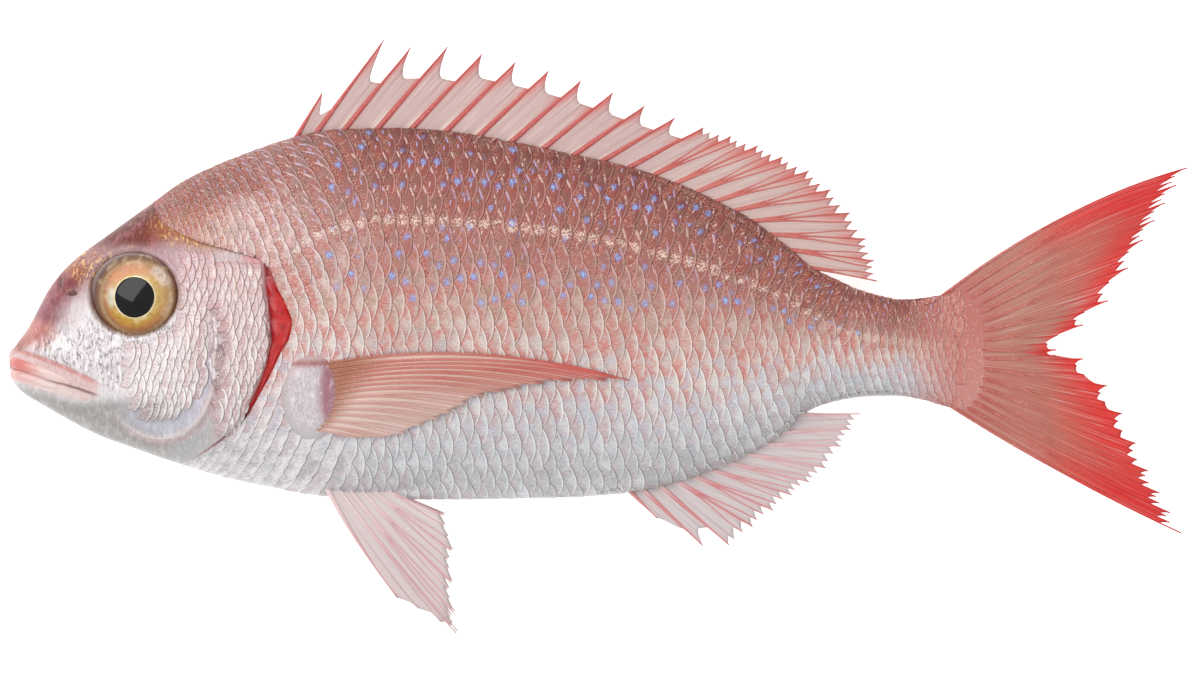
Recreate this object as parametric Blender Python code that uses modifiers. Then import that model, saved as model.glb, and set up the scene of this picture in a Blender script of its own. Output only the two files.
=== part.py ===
"""A whole raw red sea bream, lying on its right side with its left side up.

Metres, +Z up. The head points to -X, the tail to +X, the back to +Y and the belly to -Y.
Plan places are measured from the snout tip: x runs towards the tail, y towards the back.
A height is measured from the fish's own middle plane, and is positive on the left side.
"""

import math

import bmesh
import bpy
from mathutils import Vector

# Size of the whole fish
LENGTH = 0.350
DORSAL_TOP = 0.0937
PELVIC_LOW = -0.0827
MIDDLE_HEIGHT = 0.0220

# Body outline and thickness: (x, value) from the snout tip
BACK_LINE = (
    (0.0, -0.0025), (0.0005, 0.0006), (0.0018, 0.0030), (0.0051, 0.0075), (0.0092, 0.0152),
    (0.0116, 0.0196), (0.0175, 0.0268), (0.0309, 0.0370), (0.0419, 0.0449), (0.0517, 0.0517),
    (0.0684, 0.0591), (0.0842, 0.0642), (0.0984, 0.0664), (0.1157, 0.0667), (0.1308, 0.0657),
    (0.1487, 0.0629), (0.1671, 0.0590), (0.1847, 0.0550), (0.1975, 0.0506), (0.2091, 0.0455),
    (0.2198, 0.0398), (0.2308, 0.0318), (0.2380, 0.0256), (0.2453, 0.0220), (0.2545, 0.0181),
    (0.2656, 0.0159), (0.2754, 0.0172), (0.2830, 0.0195), (0.2890, 0.0160), (0.2925, 0.0020),
)
BELLY_LINE = (
    (0.0, -0.0025), (0.0006, -0.0072), (0.0036, -0.0110), (0.0092, -0.0146), (0.0164, -0.0187),
    (0.0262, -0.0238), (0.0360, -0.0274), (0.0467, -0.0312), (0.0699, -0.0375), (0.0952, -0.0413),
    (0.1249, -0.0422), (0.1636, -0.0416), (0.1841, -0.0402), (0.1980, -0.0372), (0.2123, -0.0321),
    (0.2242, -0.0262), (0.2308, -0.0218), (0.2352, -0.0172), (0.2410, -0.0143), (0.2480, -0.0125),
    (0.2551, -0.0116), (0.2632, -0.0114), (0.2700, -0.0124), (0.2786, -0.0152), (0.2840, -0.0168),
    (0.2890, -0.0120), (0.2925, 0.0020),
)
HALF_WIDTH = (
    (0.0, 0.0), (0.0006, 0.0030), (0.0036, 0.0062), (0.0100, 0.0095), (0.0250, 0.0138),
    (0.0420, 0.0172), (0.0620, 0.0203), (0.0850, 0.0224), (0.1100, 0.0230), (0.1400, 0.0224),
    (0.1800, 0.0190), (0.2200, 0.0128), (0.2450, 0.0086), (0.2650, 0.0062), (0.2800, 0.0042),
    (0.2890, 0.0024), (0.2925, 0.0),
)
# Share of the rings from snout to tail, and where they lie
RING_PLACES = (
    (0.0, 0.0), (0.03, 0.0010), (0.08, 0.0060), (0.40, 0.0850), (0.90, 0.2680), (0.97, 0.2880),
    (1.0, 0.2925),
)
BODY_RINGS = 50
BODY_SEGMENTS = 32
BACK_NARROWING = 0.20

# Bony plates of the head: the centre, the radius at each angle from the tail direction,
# and the rise above the skin at the front and at the rear edge
GILL_COVER_CENTRE = (0.0610, 0.0015)
GILL_COVER_OUTLINE = (
    (0, 0.0170), (30, 0.0190), (50, 0.0238), (65, 0.0266), (90, 0.0262), (135, 0.0210),
    (180, 0.0193), (225, 0.0230), (250, 0.0285), (270, 0.0288), (290, 0.0238), (315, 0.0179),
    (340, 0.0166), (360, 0.0170),
)
GILL_COVER_RISE = (-0.0006, 0.0016)
CHEEK_CENTRE = (0.0455, -0.0020)
CHEEK_OUTLINE = (
    (0, 0.0165), (45, 0.0150), (90, 0.0120), (135, 0.0150), (180, 0.0165), (225, 0.0180),
    (270, 0.0220), (300, 0.0200), (330, 0.0175), (360, 0.0165),
)
CHEEK_RISE = (-0.0006, 0.0009)
GILL_COVER = (GILL_COVER_CENTRE, GILL_COVER_OUTLINE, GILL_COVER_RISE)
CHEEK = (CHEEK_CENTRE, CHEEK_OUTLINE, CHEEK_RISE)
PLATE_SEGMENTS = 24
PLATE_RINGS = 8
PLATE_DEPTH = 0.0025
PLATE_EDGE_SINK = PLATE_DEPTH / 8
PLATE_EDGE_ROLL = 8

# Gill opening behind the cover: (x, y, radius of the groove)
GILL_OPENING = (
    (0.0775, 0.0262, 0.0012), (0.0800, 0.0170, 0.0022), (0.0818, 0.0090, 0.0030),
    (0.0803, 0.0010, 0.0030), (0.0768, -0.0066, 0.0026), (0.0724, -0.0140, 0.0020),
    (0.0670, -0.0218, 0.0016), (0.0600, -0.0280, 0.0012),
)
# Lips, from the corner of the mouth to the front: (x, y)
UPPER_LIP = (
    (0.0228, -0.0084), (0.0150, -0.0058), (0.0090, -0.0036), (0.0045, -0.0020), (0.0026, -0.0014),
)
LOWER_LIP = (
    (0.0222, -0.0122), (0.0150, -0.0096), (0.0090, -0.0076), (0.0048, -0.0062), (0.0030, -0.0056),
)
UPPER_LIP_RADIUS = 0.0021
LOWER_LIP_RADIUS = 0.0018
LIP_SINK = 0.0008
LIP_CORNER_SHARE = 0.55
LIP_CORNER_POINTS = 2

# Eyes: a flattened ball in a socket
EYE_PLACE = (0.0376, 0.0178)
EYE_RADII = (0.0124, 0.0114, 0.0062)
EYE_PROUD = 0.0030
EYE_TILT = 14.0
SOCKET_GAP = 0.0003
EYE_SEGMENTS = 24
EYE_RINGS = 10

# Fins, by ray number. The base is a place on the back or belly line, or a plan place
DORSAL_SPINES = 12
DORSAL_RAYS = 21
DORSAL_BASE = (
    (1, 0.0850), (2, 0.0907), (3, 0.0990), (4, 0.1088), (7, 0.1389), (10, 0.1671), (13, 0.1906),
    (16, 0.2091), (18, 0.2198), (21, 0.2372),
)
DORSAL_TIPS = (
    (1, 0.0928, 0.0779), (2, 0.1112, 0.0937), (3, 0.1192, 0.0914), (4, 0.1302, 0.0917),
    (5, 0.1404, 0.0895), (8, 0.1698, 0.0815), (11, 0.1978, 0.0705), (14, 0.2224, 0.0622),
    (15, 0.2299, 0.0589), (16, 0.2376, 0.0547), (17, 0.2441, 0.0491), (18, 0.2498, 0.0422),
    (19, 0.2545, 0.0345), (20, 0.2569, 0.0280), (21, 0.2578, 0.0220),
)
ANAL_SPINES = 3
ANAL_RAYS = 11
ANAL_BASE = ((1, 0.1841), (2, 0.1879), (3, 0.1930), (7, 0.2130), (11, 0.2348))
ANAL_TIPS = (
    (1, 0.1924, -0.0485), (2, 0.2061, -0.0568), (3, 0.2138, -0.0565), (4, 0.2209, -0.0511),
    (6, 0.2325, -0.0416), (8, 0.2427, -0.0336), (9, 0.2471, -0.0271), (11, 0.2528, -0.0175),
)
TAIL_RAYS = 17
TAIL_FORK_RAY = 9
TAIL_BASE = (
    (1, 0.2780, 0.0180), (5, 0.2862, 0.0110), (9, 0.2885, 0.0015), (13, 0.2865, -0.0085),
    (17, 0.2795, -0.0150),
)
TAIL_TIPS = (
    (1, 0.3500, 0.0556), (3, 0.3435, 0.0452), (5, 0.3369, 0.0342), (6, 0.3325, 0.0259),
    (7, 0.3265, 0.0161), (8, 0.3191, 0.0089), (9, 0.3111, 0.0015), (10, 0.3191, -0.0012),
    (11, 0.3262, -0.0092), (12, 0.3307, -0.0175), (14, 0.3384, -0.0345), (17, 0.3482, -0.0529),
)
PELVIC_RAYS = 6
PELVIC_BASE = ((1, 0.0946, -0.0392), (6, 0.1100, -0.0392))
PELVIC_TIPS = (
    (1, 0.1154, -0.0720), (2, 0.1329, -0.0825), (3, 0.1320, -0.0764), (4, 0.1314, -0.0675),
    (5, 0.1314, -0.0580), (6, 0.1291, -0.0474),
)
PECTORAL_RAYS = 15
PECTORAL_BASE = ((1, 0.0916, -0.0030), (8, 0.0928, -0.0122), (15, 0.0904, -0.0217))
PECTORAL_TIPS = (
    (1, 0.1775, -0.0056), (2, 0.1841, -0.0074), (4, 0.1668, -0.0077), (6, 0.1523, -0.0098),
    (8, 0.1415, -0.0119), (10, 0.1320, -0.0169), (12, 0.1234, -0.0205), (14, 0.1112, -0.0244),
    (15, 0.1035, -0.0244),
)
PECTORAL_BOW = 0.0048
PECTORAL_MIDDLE = -0.0004
PECTORAL_THICKNESS = 0.0032
TAIL_BOW_UPPER = 0.0046
TAIL_BOW_LOWER = 0.0016
PELVIC_BOW = 0.0012
PELVIC_ROOT = 0.0050
PELVIC_SPREAD = 0.0040
PELVIC_DROOP = 0.0080
PELVIC_FLARE = 1.5

# Edge of a fin from one ray to the next: (share of the way, share of the ray's length)
TALL_SPINES = 5
TALL_SPINE_EDGE = ((0.0, 1.0), (0.40, 0.78), (0.82, 0.64))
SPINE_EDGE = ((0.0, 1.0), (0.35, 0.93), (0.80, 0.80))
SOFT_EDGE = ((0.0, 1.0), (0.5, 0.94))
TAIL_EDGE = ((0.0, 1.0), (0.5, 0.96))
RAY_THICKNESS = 0.0016
RAY_TAPER = 0.4
WEB_SHARE = 0.5
FIN_ROOT_DEPTH = 0.0035
FIN_WAVE = 0.0009
MEDIAN_WAVE_STEP = 0.9
TAIL_WAVE_STEP = 0.5
PELVIC_WAVE_STEP = 1.4
MEDIAN_ROWS = 4
PELVIC_ROWS = 5
LONG_FIN_ROWS = 6

# The block that cuts the resting spot, and how the finished mesh is cleaned
REST_BLOCK = (0.4, 0.2, 0.01)
MERGE_DISTANCE = 2e-6
TUBE_MERGE_DISTANCE = 1e-6
TUBE_SIDES = 2
SHARP_ANGLE = 35.0

SKIN_COLOUR = (0.62, 0.30, 0.26, 1.0)
FIN_COLOUR = (0.74, 0.36, 0.33, 1.0)
GILL_COLOUR = (0.55, 0.04, 0.03, 1.0)
EYE_COLOUR = (0.60, 0.36, 0.08, 1.0)


def clear_scene():
    for item in list(bpy.data.objects):
        bpy.data.objects.remove(item, do_unlink=True)


def between(table, key):
    """The values at a key on smooth curves through the rows of a table, with no overshoot."""
    rows = [(row[0], row[1:]) for row in table]
    key = min(max(key, rows[0][0]), rows[-1][0])
    index = max(i for i in range(len(rows) - 1) if rows[i][0] <= key or i == 0)

    def slope(i, part):
        if i == 0 or i == len(rows) - 1:
            near = max(i - 1, 0)
            return (rows[near + 1][1][part] - rows[near][1][part]) / (rows[near + 1][0] - rows[near][0])
        before = (rows[i][1][part] - rows[i - 1][1][part]) / (rows[i][0] - rows[i - 1][0])
        after = (rows[i + 1][1][part] - rows[i][1][part]) / (rows[i + 1][0] - rows[i][0])
        return 2 * before * after / (before + after) if before * after > 0 else 0.0

    (start, low), (end, high) = rows[index], rows[index + 1]
    span = end - start
    t = (key - start) / span
    values = []
    for part in range(len(low)):
        values.append(
            (1 + 2 * t) * (1 - t) ** 2 * low[part]
            + t * (1 - t) ** 2 * span * slope(index, part)
            + t * t * (3 - 2 * t) * high[part]
            - t * t * (1 - t) * span * slope(index + 1, part)
        )
    return values


def back(x):
    return between(BACK_LINE, x)[0]


def belly(x):
    return between(BELLY_LINE, x)[0]


def narrowing(across):
    """How far the section is drawn in towards the back: 1 at the middle of the flank."""
    return 1 - BACK_NARROWING * max(across, 0.0) ** 2


def skin_height(x, y):
    """Height of the skin above the middle plane at a plan place."""
    top, low = back(x), belly(x)
    across = (2 * y - top - low) / max(top - low, 1e-6)
    across = min(max(across, -1.0), 1.0)
    return between(HALF_WIDTH, x)[0] * math.sqrt(1 - across * across) * narrowing(across)


def place(x, y, height):
    """A plan place and a height as a point of the finished part."""
    return Vector((x - LENGTH / 2, y - (DORSAL_TOP + PELVIC_LOW) / 2, MIDDLE_HEIGHT + height))


def new_object(name, mesh, collection, colour):
    material = bpy.data.materials.get(colour[0]) or bpy.data.materials.new(colour[0])
    material.use_nodes = True
    shader = material.node_tree.nodes["Principled BSDF"]
    shader.inputs["Base Color"].default_value = colour[1]
    shader.inputs["Roughness"].default_value = 0.35
    mesh.materials.append(material)
    item = bpy.data.objects.new(name, mesh)
    collection.objects.link(item)
    return item


def mesh_from(build, name):
    mesh = bpy.data.meshes.new(name)
    shape = bmesh.new()
    build(shape)
    shape.to_mesh(mesh)
    shape.free()
    return mesh


def ball(name, segments, rings, put, collection, colour):
    """A UV sphere whose points put() moves: it gets the share from pole to pole and the angle round."""

    def build(shape):
        bmesh.ops.create_uvsphere(shape, u_segments=segments, v_segments=rings, radius=1.0)
        for vertex in shape.verts:
            x, y, z = vertex.co
            vertex.co = put(math.acos(min(max(z, -1.0), 1.0)) / math.pi, math.atan2(y, x))
        bmesh.ops.recalc_face_normals(shape, faces=shape.faces)

    return new_object(name, mesh_from(build, name), collection, colour)


def make_body(collection):
    def put(share, angle):
        x = between(RING_PLACES, share)[0]
        middle = (back(x) + belly(x)) / 2
        across = math.sin(angle)
        half = between(HALF_WIDTH, x)[0] * math.cos(angle) * narrowing(across)
        return place(x, middle + (back(x) - belly(x)) / 2 * across, half)

    return ball("fish", BODY_SEGMENTS, BODY_RINGS, put, collection, ("skin", SKIN_COLOUR))


def make_plate(name, plate, side, collection):
    """A bony plate that follows the skin and stands proud at its rear edge."""
    centre, outline, rise = plate
    reach = max(radius for _, radius in outline)

    def put(share, angle):
        radius = between(outline, math.degrees(angle) % 360)[0] * math.sin(share * math.pi)
        x = centre[0] + radius * math.cos(angle)
        y = centre[1] + radius * math.sin(angle)
        back_share = min(max((x - centre[0]) / reach + 0.5, 0.0), 1.0)
        lift = rise[0] + (rise[1] - rise[0]) * back_share
        flat = 1 - math.sin(share * math.pi) ** PLATE_EDGE_ROLL
        height = skin_height(x, y) + (lift if share < 0.5 else -PLATE_DEPTH) * flat
        return place(x, y, side * (height - PLATE_EDGE_SINK * (1 - flat)))

    return ball(name, PLATE_SEGMENTS, PLATE_RINGS, put, collection, ("skin", SKIN_COLOUR))


def make_tube(name, points, collection, colour):
    """A round tube through (point, radius) pairs, as a closed mesh."""
    curve = bpy.data.curves.new(name, "CURVE")
    curve.dimensions = "3D"
    curve.bevel_depth = 1.0
    curve.bevel_resolution = TUBE_SIDES
    curve.use_fill_caps = True
    spline = curve.splines.new("POLY")
    spline.points.add(len(points) - 1)
    for knot, (where, radius) in zip(spline.points, points):
        knot.co = (*where, 1.0)
        knot.radius = radius
    guide = bpy.data.objects.new(name + "_guide", curve)
    collection.objects.link(guide)
    bpy.context.view_layer.update()
    graph = bpy.context.evaluated_depsgraph_get()
    mesh = bpy.data.meshes.new_from_object(guide.evaluated_get(graph))
    mesh.materials.clear()
    bpy.data.objects.remove(guide, do_unlink=True)
    shape = bmesh.new()
    shape.from_mesh(mesh)
    bmesh.ops.remove_doubles(shape, verts=shape.verts, dist=TUBE_MERGE_DISTANCE)
    bmesh.ops.recalc_face_normals(shape, faces=shape.faces)
    shape.to_mesh(mesh)
    shape.free()
    return new_object(name, mesh, collection, colour)


def make_lip(name, line, radius, collection):
    """A lip runs round the snout from one corner of the mouth to the other."""
    left = [(x, y, skin_height(x, y) - LIP_SINK) for x, y in line]
    right = [(x, y, -height) for x, y, height in reversed(left)]
    front = (radius, line[-1][1], 0.0)
    route = left + [front] + right
    points = []
    for index, (x, y, height) in enumerate(route):
        from_corner = min(index, len(route) - 1 - index) / LIP_CORNER_POINTS
        share = min(LIP_CORNER_SHARE + (1 - LIP_CORNER_SHARE) * from_corner, 1.0)
        points.append((place(x, y, height), radius * share))
    return make_tube(name, points, collection, ("skin", SKIN_COLOUR))


def make_gill_opening(name, side, collection):
    points = []
    for x, y, radius in GILL_OPENING:
        points.append((place(x, y, side * skin_height(x, y)), radius))
    return make_tube(name, points, collection, ("gill", GILL_COLOUR))


def ray_columns(first, last, edge_of):
    """(ray number, share of the ray's length) for each column of a fin's sheet."""
    columns = []
    for ray in range(first, last):
        columns += [(ray + step, length) for step, length in edge_of(ray)]
    return columns + [(last, 1.0)]


def make_fin(name, columns, rows, put, thickness, collection):
    """A sheet with one column on each ray and the rest on the web, thicker along the rays."""

    def build(shape):
        bmesh.ops.create_grid(shape, x_segments=len(columns) - 1, y_segments=rows, size=0.5)
        layer = shape.verts.layers.deform.verify()
        for vertex in shape.verts:
            index = round((vertex.co.x + 0.5) * (len(columns) - 1))
            ray, length = columns[index]
            along = vertex.co.y + 0.5
            vertex[layer][0] = 1.0 - RAY_TAPER * along if ray == int(ray) else 0.0
            vertex.co = put(ray, along * length)

    item = new_object(name, mesh_from(build, name), collection, ("fin", FIN_COLOUR))
    item.vertex_groups.new(name="rays")
    walls = item.modifiers.new("walls", "SOLIDIFY")
    walls.thickness = thickness
    walls.offset = 0.0
    walls.vertex_group = "rays"
    walls.thickness_vertex_group = WEB_SHARE
    return item


def median_fin(name, base_table, tip_table, line, spines, last, collection):
    """A fin in the middle plane, rooted on the back or the belly."""

    def put(ray, along):
        x = between(base_table, ray)[0]
        tip = Vector(between(tip_table, ray))
        base = Vector((x, line(x)))
        root = base - (tip - base).normalized() * FIN_ROOT_DEPTH
        spot = root.lerp(tip, along)
        return place(spot.x, spot.y, FIN_WAVE * along * math.sin(ray * MEDIAN_WAVE_STEP))

    def edge_of(ray):
        if ray >= spines:
            return SOFT_EDGE
        return TALL_SPINE_EDGE if ray < TALL_SPINES else SPINE_EDGE

    columns = ray_columns(1, last, edge_of)
    return make_fin(name, columns, MEDIAN_ROWS, put, RAY_THICKNESS, collection)


def tail_fin(collection):
    def put(ray, along):
        base = Vector(between(TAIL_BASE, ray))
        tip = Vector(between(TAIL_TIPS, ray))
        root = base - (tip - base).normalized() * FIN_ROOT_DEPTH
        spot = root.lerp(tip, along)
        outer = (TAIL_FORK_RAY - ray) / (TAIL_RAYS - TAIL_FORK_RAY)
        bow = TAIL_BOW_UPPER if outer > 0 else TAIL_BOW_LOWER
        spot.y += bow * outer * abs(outer) * 4 * along * (1 - along)
        return place(spot.x, spot.y, FIN_WAVE * along * math.sin(ray * TAIL_WAVE_STEP))

    columns = ray_columns(1, TAIL_RAYS, lambda ray: TAIL_EDGE)
    return make_fin("tail_fin", columns, LONG_FIN_ROWS, put, RAY_THICKNESS, collection)


def pelvic_fin(name, side, collection):
    spread = PELVIC_SPREAD if side > 0 else PELVIC_DROOP

    def put(ray, along):
        base = Vector(between(PELVIC_BASE, ray))
        tip = Vector(between(PELVIC_TIPS, ray))
        root = base - (tip - base).normalized() * FIN_ROOT_DEPTH
        spot = root.lerp(tip, along)
        spot.x -= PELVIC_BOW * (PELVIC_RAYS - ray) / (PELVIC_RAYS - 1) * 4 * along * (1 - along)
        wave = FIN_WAVE * along * math.sin(ray * PELVIC_WAVE_STEP)
        height = PELVIC_ROOT + spread * along ** PELVIC_FLARE + wave
        return place(spot.x, spot.y, side * height)

    columns = ray_columns(1, PELVIC_RAYS, lambda ray: SOFT_EDGE)
    return make_fin(name, columns, PELVIC_ROWS, put, RAY_THICKNESS, collection)


def pectoral_fin(name, side, collection):
    """This fin lies flat along the flank, so it follows the skin."""

    def put(ray, along):
        base = Vector(between(PECTORAL_BASE, ray))
        tip = Vector(between(PECTORAL_TIPS, ray))
        spot = base.lerp(tip, along)
        bow = PECTORAL_BOW * (PECTORAL_RAYS - ray) / (PECTORAL_RAYS - 1)
        spot.y += bow * 4 * along * (1 - along)
        return place(spot.x, spot.y, side * (skin_height(spot.x, spot.y) + PECTORAL_MIDDLE))

    columns = ray_columns(1, PECTORAL_RAYS, lambda ray: SOFT_EDGE)
    return make_fin(name, columns, LONG_FIN_ROWS, put, PECTORAL_THICKNESS, collection)


def make_eye(name, side, grow, collection):
    """The eyeball, or its socket when it is grown by the gap round it."""
    x, y = EYE_PLACE
    centre = place(x, y, side * (skin_height(x, y) + EYE_PROUD - EYE_RADII[2]))
    tilt = math.radians(EYE_TILT) * side

    def put(share, angle):
        ring = math.sin(share * math.pi)
        spot = Vector((
            (EYE_RADII[0] + grow) * ring * math.cos(angle),
            (EYE_RADII[1] + grow) * ring * math.sin(angle),
            (EYE_RADII[2] + grow) * math.cos(share * math.pi),
        ))
        turned_x = spot.x * math.cos(tilt) - spot.z * math.sin(tilt)
        turned_z = spot.x * math.sin(tilt) + spot.z * math.cos(tilt)
        return centre + Vector((turned_x, spot.y, turned_z))

    return ball(name, EYE_SEGMENTS, EYE_RINGS, put, collection, ("eye", EYE_COLOUR))


def add_boolean(target, operation, collection):
    cut = target.modifiers.new(operation.lower(), "BOOLEAN")
    cut.operation = operation
    cut.operand_type = "COLLECTION"
    cut.collection = collection
    cut.solver = "EXACT"
    cut.material_mode = "TRANSFER"


def apply_modifiers(item):
    bpy.context.view_layer.update()
    graph = bpy.context.evaluated_depsgraph_get()
    mesh = bpy.data.meshes.new_from_object(item.evaluated_get(graph))
    item.modifiers.clear()
    item.data = mesh


def fuse(target, grooves, pieces, sockets):
    """Cuts the gill openings, joins the pieces, then cuts the sockets and the resting spot."""
    add_boolean(target, "DIFFERENCE", grooves)
    apply_modifiers(target)
    add_boolean(target, "UNION", pieces)
    apply_modifiers(target)
    add_boolean(target, "DIFFERENCE", sockets)
    apply_modifiers(target)
    shape = bmesh.new()
    shape.from_mesh(target.data)
    bmesh.ops.triangulate(shape, faces=shape.faces)
    bmesh.ops.remove_doubles(shape, verts=shape.verts, dist=MERGE_DISTANCE)
    shape.to_mesh(target.data)
    shape.free()
    target.data.shade_smooth()
    target.data.set_sharp_from_angle(angle=math.radians(SHARP_ANGLE))


def helper_collection(name, parent):
    made = bpy.data.collections.new(name)
    parent.children.link(made)
    made.hide_render = True
    return made


def remove_helpers(collections):
    for collection in collections:
        for item in list(collection.objects):
            bpy.data.objects.remove(item, do_unlink=True)
        bpy.data.collections.remove(collection)


def make_resting_cutter(collection):
    """A block under the part, which leaves a small flat spot where the flank rests."""
    length, depth, height = REST_BLOCK

    def build(shape):
        bmesh.ops.create_cube(shape, size=1.0)
        for vertex in shape.verts:
            x, y, z = vertex.co
            vertex.co = Vector((x * length, y * depth, (z - 0.5) * height))

    return new_object("rest_cutter", mesh_from(build, "rest_cutter"), collection, ("skin", SKIN_COLOUR))


def main():
    clear_scene()
    top = bpy.context.scene.collection
    parts = bpy.data.collections.new("whole_fish")
    top.children.link(parts)
    grooves = helper_collection("groove_cutters", top)
    pieces = helper_collection("joined_pieces", top)
    sockets = helper_collection("socket_cutters", top)
    fish = make_body(parts)
    make_lip("upper_lip", UPPER_LIP, UPPER_LIP_RADIUS, pieces)
    make_lip("lower_lip", LOWER_LIP, LOWER_LIP_RADIUS, pieces)
    median_fin("dorsal_fin", DORSAL_BASE, DORSAL_TIPS, back, DORSAL_SPINES, DORSAL_RAYS, pieces)
    median_fin("anal_fin", ANAL_BASE, ANAL_TIPS, belly, ANAL_SPINES, ANAL_RAYS, pieces)
    tail_fin(pieces)
    for word, side in (("left", 1), ("right", -1)):
        make_gill_opening("gill_" + word, side, grooves)
        make_plate("cover_" + word, GILL_COVER, side, pieces)
        make_plate("cheek_" + word, CHEEK, side, pieces)
        pelvic_fin("pelvic_" + word, side, pieces)
        pectoral_fin("pectoral_" + word, side, pieces)
        make_eye("socket_" + word, side, SOCKET_GAP, sockets)
        make_eye("eye_" + word, side, 0.0, parts)
    make_resting_cutter(sockets)
    fuse(fish, grooves, pieces, sockets)
    remove_helpers((grooves, pieces, sockets))


main()
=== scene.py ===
# %% [markdown]
# # A whole red sea bream
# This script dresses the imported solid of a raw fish. The fish lies on its right side, so the
# camera looks straight down on its left flank. Everything is in metres, +Z is up, the head
# points to -X and the back to +Y.
# The first cell loads the solids. They stay where they are, and every new piece fits them.

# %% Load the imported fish
import math

import bpy
import numpy as np
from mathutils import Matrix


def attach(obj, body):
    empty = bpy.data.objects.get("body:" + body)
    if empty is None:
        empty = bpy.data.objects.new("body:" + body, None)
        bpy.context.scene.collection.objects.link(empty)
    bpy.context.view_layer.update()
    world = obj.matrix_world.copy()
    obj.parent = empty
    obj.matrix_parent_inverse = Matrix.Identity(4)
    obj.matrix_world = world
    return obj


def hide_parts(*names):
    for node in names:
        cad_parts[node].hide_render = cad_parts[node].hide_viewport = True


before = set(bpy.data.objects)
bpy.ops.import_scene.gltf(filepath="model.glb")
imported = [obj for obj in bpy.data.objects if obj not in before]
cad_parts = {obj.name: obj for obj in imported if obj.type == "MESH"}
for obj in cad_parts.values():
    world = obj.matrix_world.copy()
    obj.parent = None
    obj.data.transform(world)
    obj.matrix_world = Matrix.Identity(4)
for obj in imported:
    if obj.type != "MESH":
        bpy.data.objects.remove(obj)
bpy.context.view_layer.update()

bpy.ops.object.select_all(action="DESELECT")

# %% [markdown]
# ## The outline of the fish
# A fish is a loft: its section is a narrow egg that changes from the snout to the tail. Three
# curves say it all, the back, the belly and half the thickness. Plan places count from the
# snout tip, x towards the tail and y towards the back. A curve through a few measured points
# is enough, as long as it never swings past them, so each slope is a harmonic mean.

# %% Smooth curves through measured points
def curve(*rows):
    """A smooth function of x through (x, value) rows, with no overshoot."""
    x, y = np.array(rows, float).T
    step = np.diff(x)
    rise = np.diff(y) / step
    slope = np.zeros_like(y)
    slope[0], slope[-1] = rise[0], rise[-1]
    same_way = rise[:-1] * rise[1:] > 0
    total = np.where(same_way, rise[:-1] + rise[1:], 1.0)
    slope[1:-1] = np.where(same_way, 2 * rise[:-1] * rise[1:] / total, 0.0)

    def value(at):
        at = np.clip(at, x[0], x[-1])
        i = np.clip(np.searchsorted(x, at, side="right") - 1, 0, len(x) - 2)
        t = (at - x[i]) / step[i]
        start = (1 + 2 * t) * (1 - t) ** 2 * y[i] + t * (1 - t) ** 2 * step[i] * slope[i]
        return start + t * t * (3 - 2 * t) * y[i + 1] - t * t * (1 - t) * step[i] * slope[i + 1]

    return value


back = curve(
    (0.0, -0.0025), (0.0005, 0.0006), (0.0018, 0.0030), (0.0051, 0.0075), (0.0092, 0.0152),
    (0.0116, 0.0196), (0.0175, 0.0268), (0.0309, 0.0370), (0.0419, 0.0449), (0.0517, 0.0517),
    (0.0684, 0.0591), (0.0842, 0.0642), (0.0984, 0.0664), (0.1157, 0.0667), (0.1308, 0.0657),
    (0.1487, 0.0629), (0.1671, 0.0590), (0.1847, 0.0550), (0.1975, 0.0506), (0.2091, 0.0455),
    (0.2198, 0.0398), (0.2308, 0.0318), (0.2380, 0.0256), (0.2453, 0.0220), (0.2545, 0.0181),
    (0.2656, 0.0159), (0.2754, 0.0172), (0.2830, 0.0195), (0.2890, 0.0160), (0.2925, 0.0020),
)
belly = curve(
    (0.0, -0.0025), (0.0006, -0.0072), (0.0036, -0.0110), (0.0092, -0.0146), (0.0164, -0.0187),
    (0.0262, -0.0238), (0.0360, -0.0274), (0.0467, -0.0312), (0.0699, -0.0375), (0.0952, -0.0413),
    (0.1249, -0.0422), (0.1636, -0.0416), (0.1841, -0.0402), (0.1980, -0.0372), (0.2123, -0.0321),
    (0.2242, -0.0262), (0.2308, -0.0218), (0.2352, -0.0172), (0.2410, -0.0143), (0.2480, -0.0125),
    (0.2551, -0.0116), (0.2632, -0.0114), (0.2700, -0.0124), (0.2786, -0.0152), (0.2840, -0.0168),
    (0.2890, -0.0120), (0.2925, 0.0020),
)
half_width = curve(
    (0.0, 0.0), (0.0006, 0.0030), (0.0036, 0.0062), (0.0100, 0.0095), (0.0250, 0.0138),
    (0.0420, 0.0172), (0.0620, 0.0203), (0.0850, 0.0224), (0.1100, 0.0230), (0.1400, 0.0224),
    (0.1800, 0.0190), (0.2200, 0.0128), (0.2450, 0.0086), (0.2600, 0.0062), (0.2720, 0.0040),
    (0.2820, 0.0019), (0.2890, 0.0007), (0.2925, 0.0),
)
BACK_NARROWING = 0.20
BODY_END = 0.2925
print("deepest:", round(float(back(0.12) - belly(0.12)), 4), "thickest:", 2 * half_width(0.11))

# %% From plan places to the finished part
LENGTH = 0.350
PLAN_MIDDLE = (0.0937 - 0.0827) / 2
MIDDLE_HEIGHT = 0.0220
SQUASH = 0.0007


def narrowing(across):
    return 1 - BACK_NARROWING * np.maximum(across, 0.0) ** 2


def skin_height(x, y):
    """How far the bare skin is above the fish's middle plane."""
    top, low = back(x), belly(x)
    across = np.clip((2 * y - top - low) / np.maximum(top - low, 1e-6), -1.0, 1.0)
    return half_width(x) * np.sqrt(1 - across * across) * narrowing(across)


def place(x, y, height):
    """Plan places and heights as points. Near the table they are pressed flat, in order."""
    x, y, height = np.broadcast_arrays(x, y, height)
    z = MIDDLE_HEIGHT + height
    pressed = SQUASH * np.exp(np.minimum(z - SQUASH, 0.0) / SQUASH)
    return np.stack([x - LENGTH / 2, y - PLAN_MIDDLE, np.where(z < SQUASH, pressed, z)], axis=-1)


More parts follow.
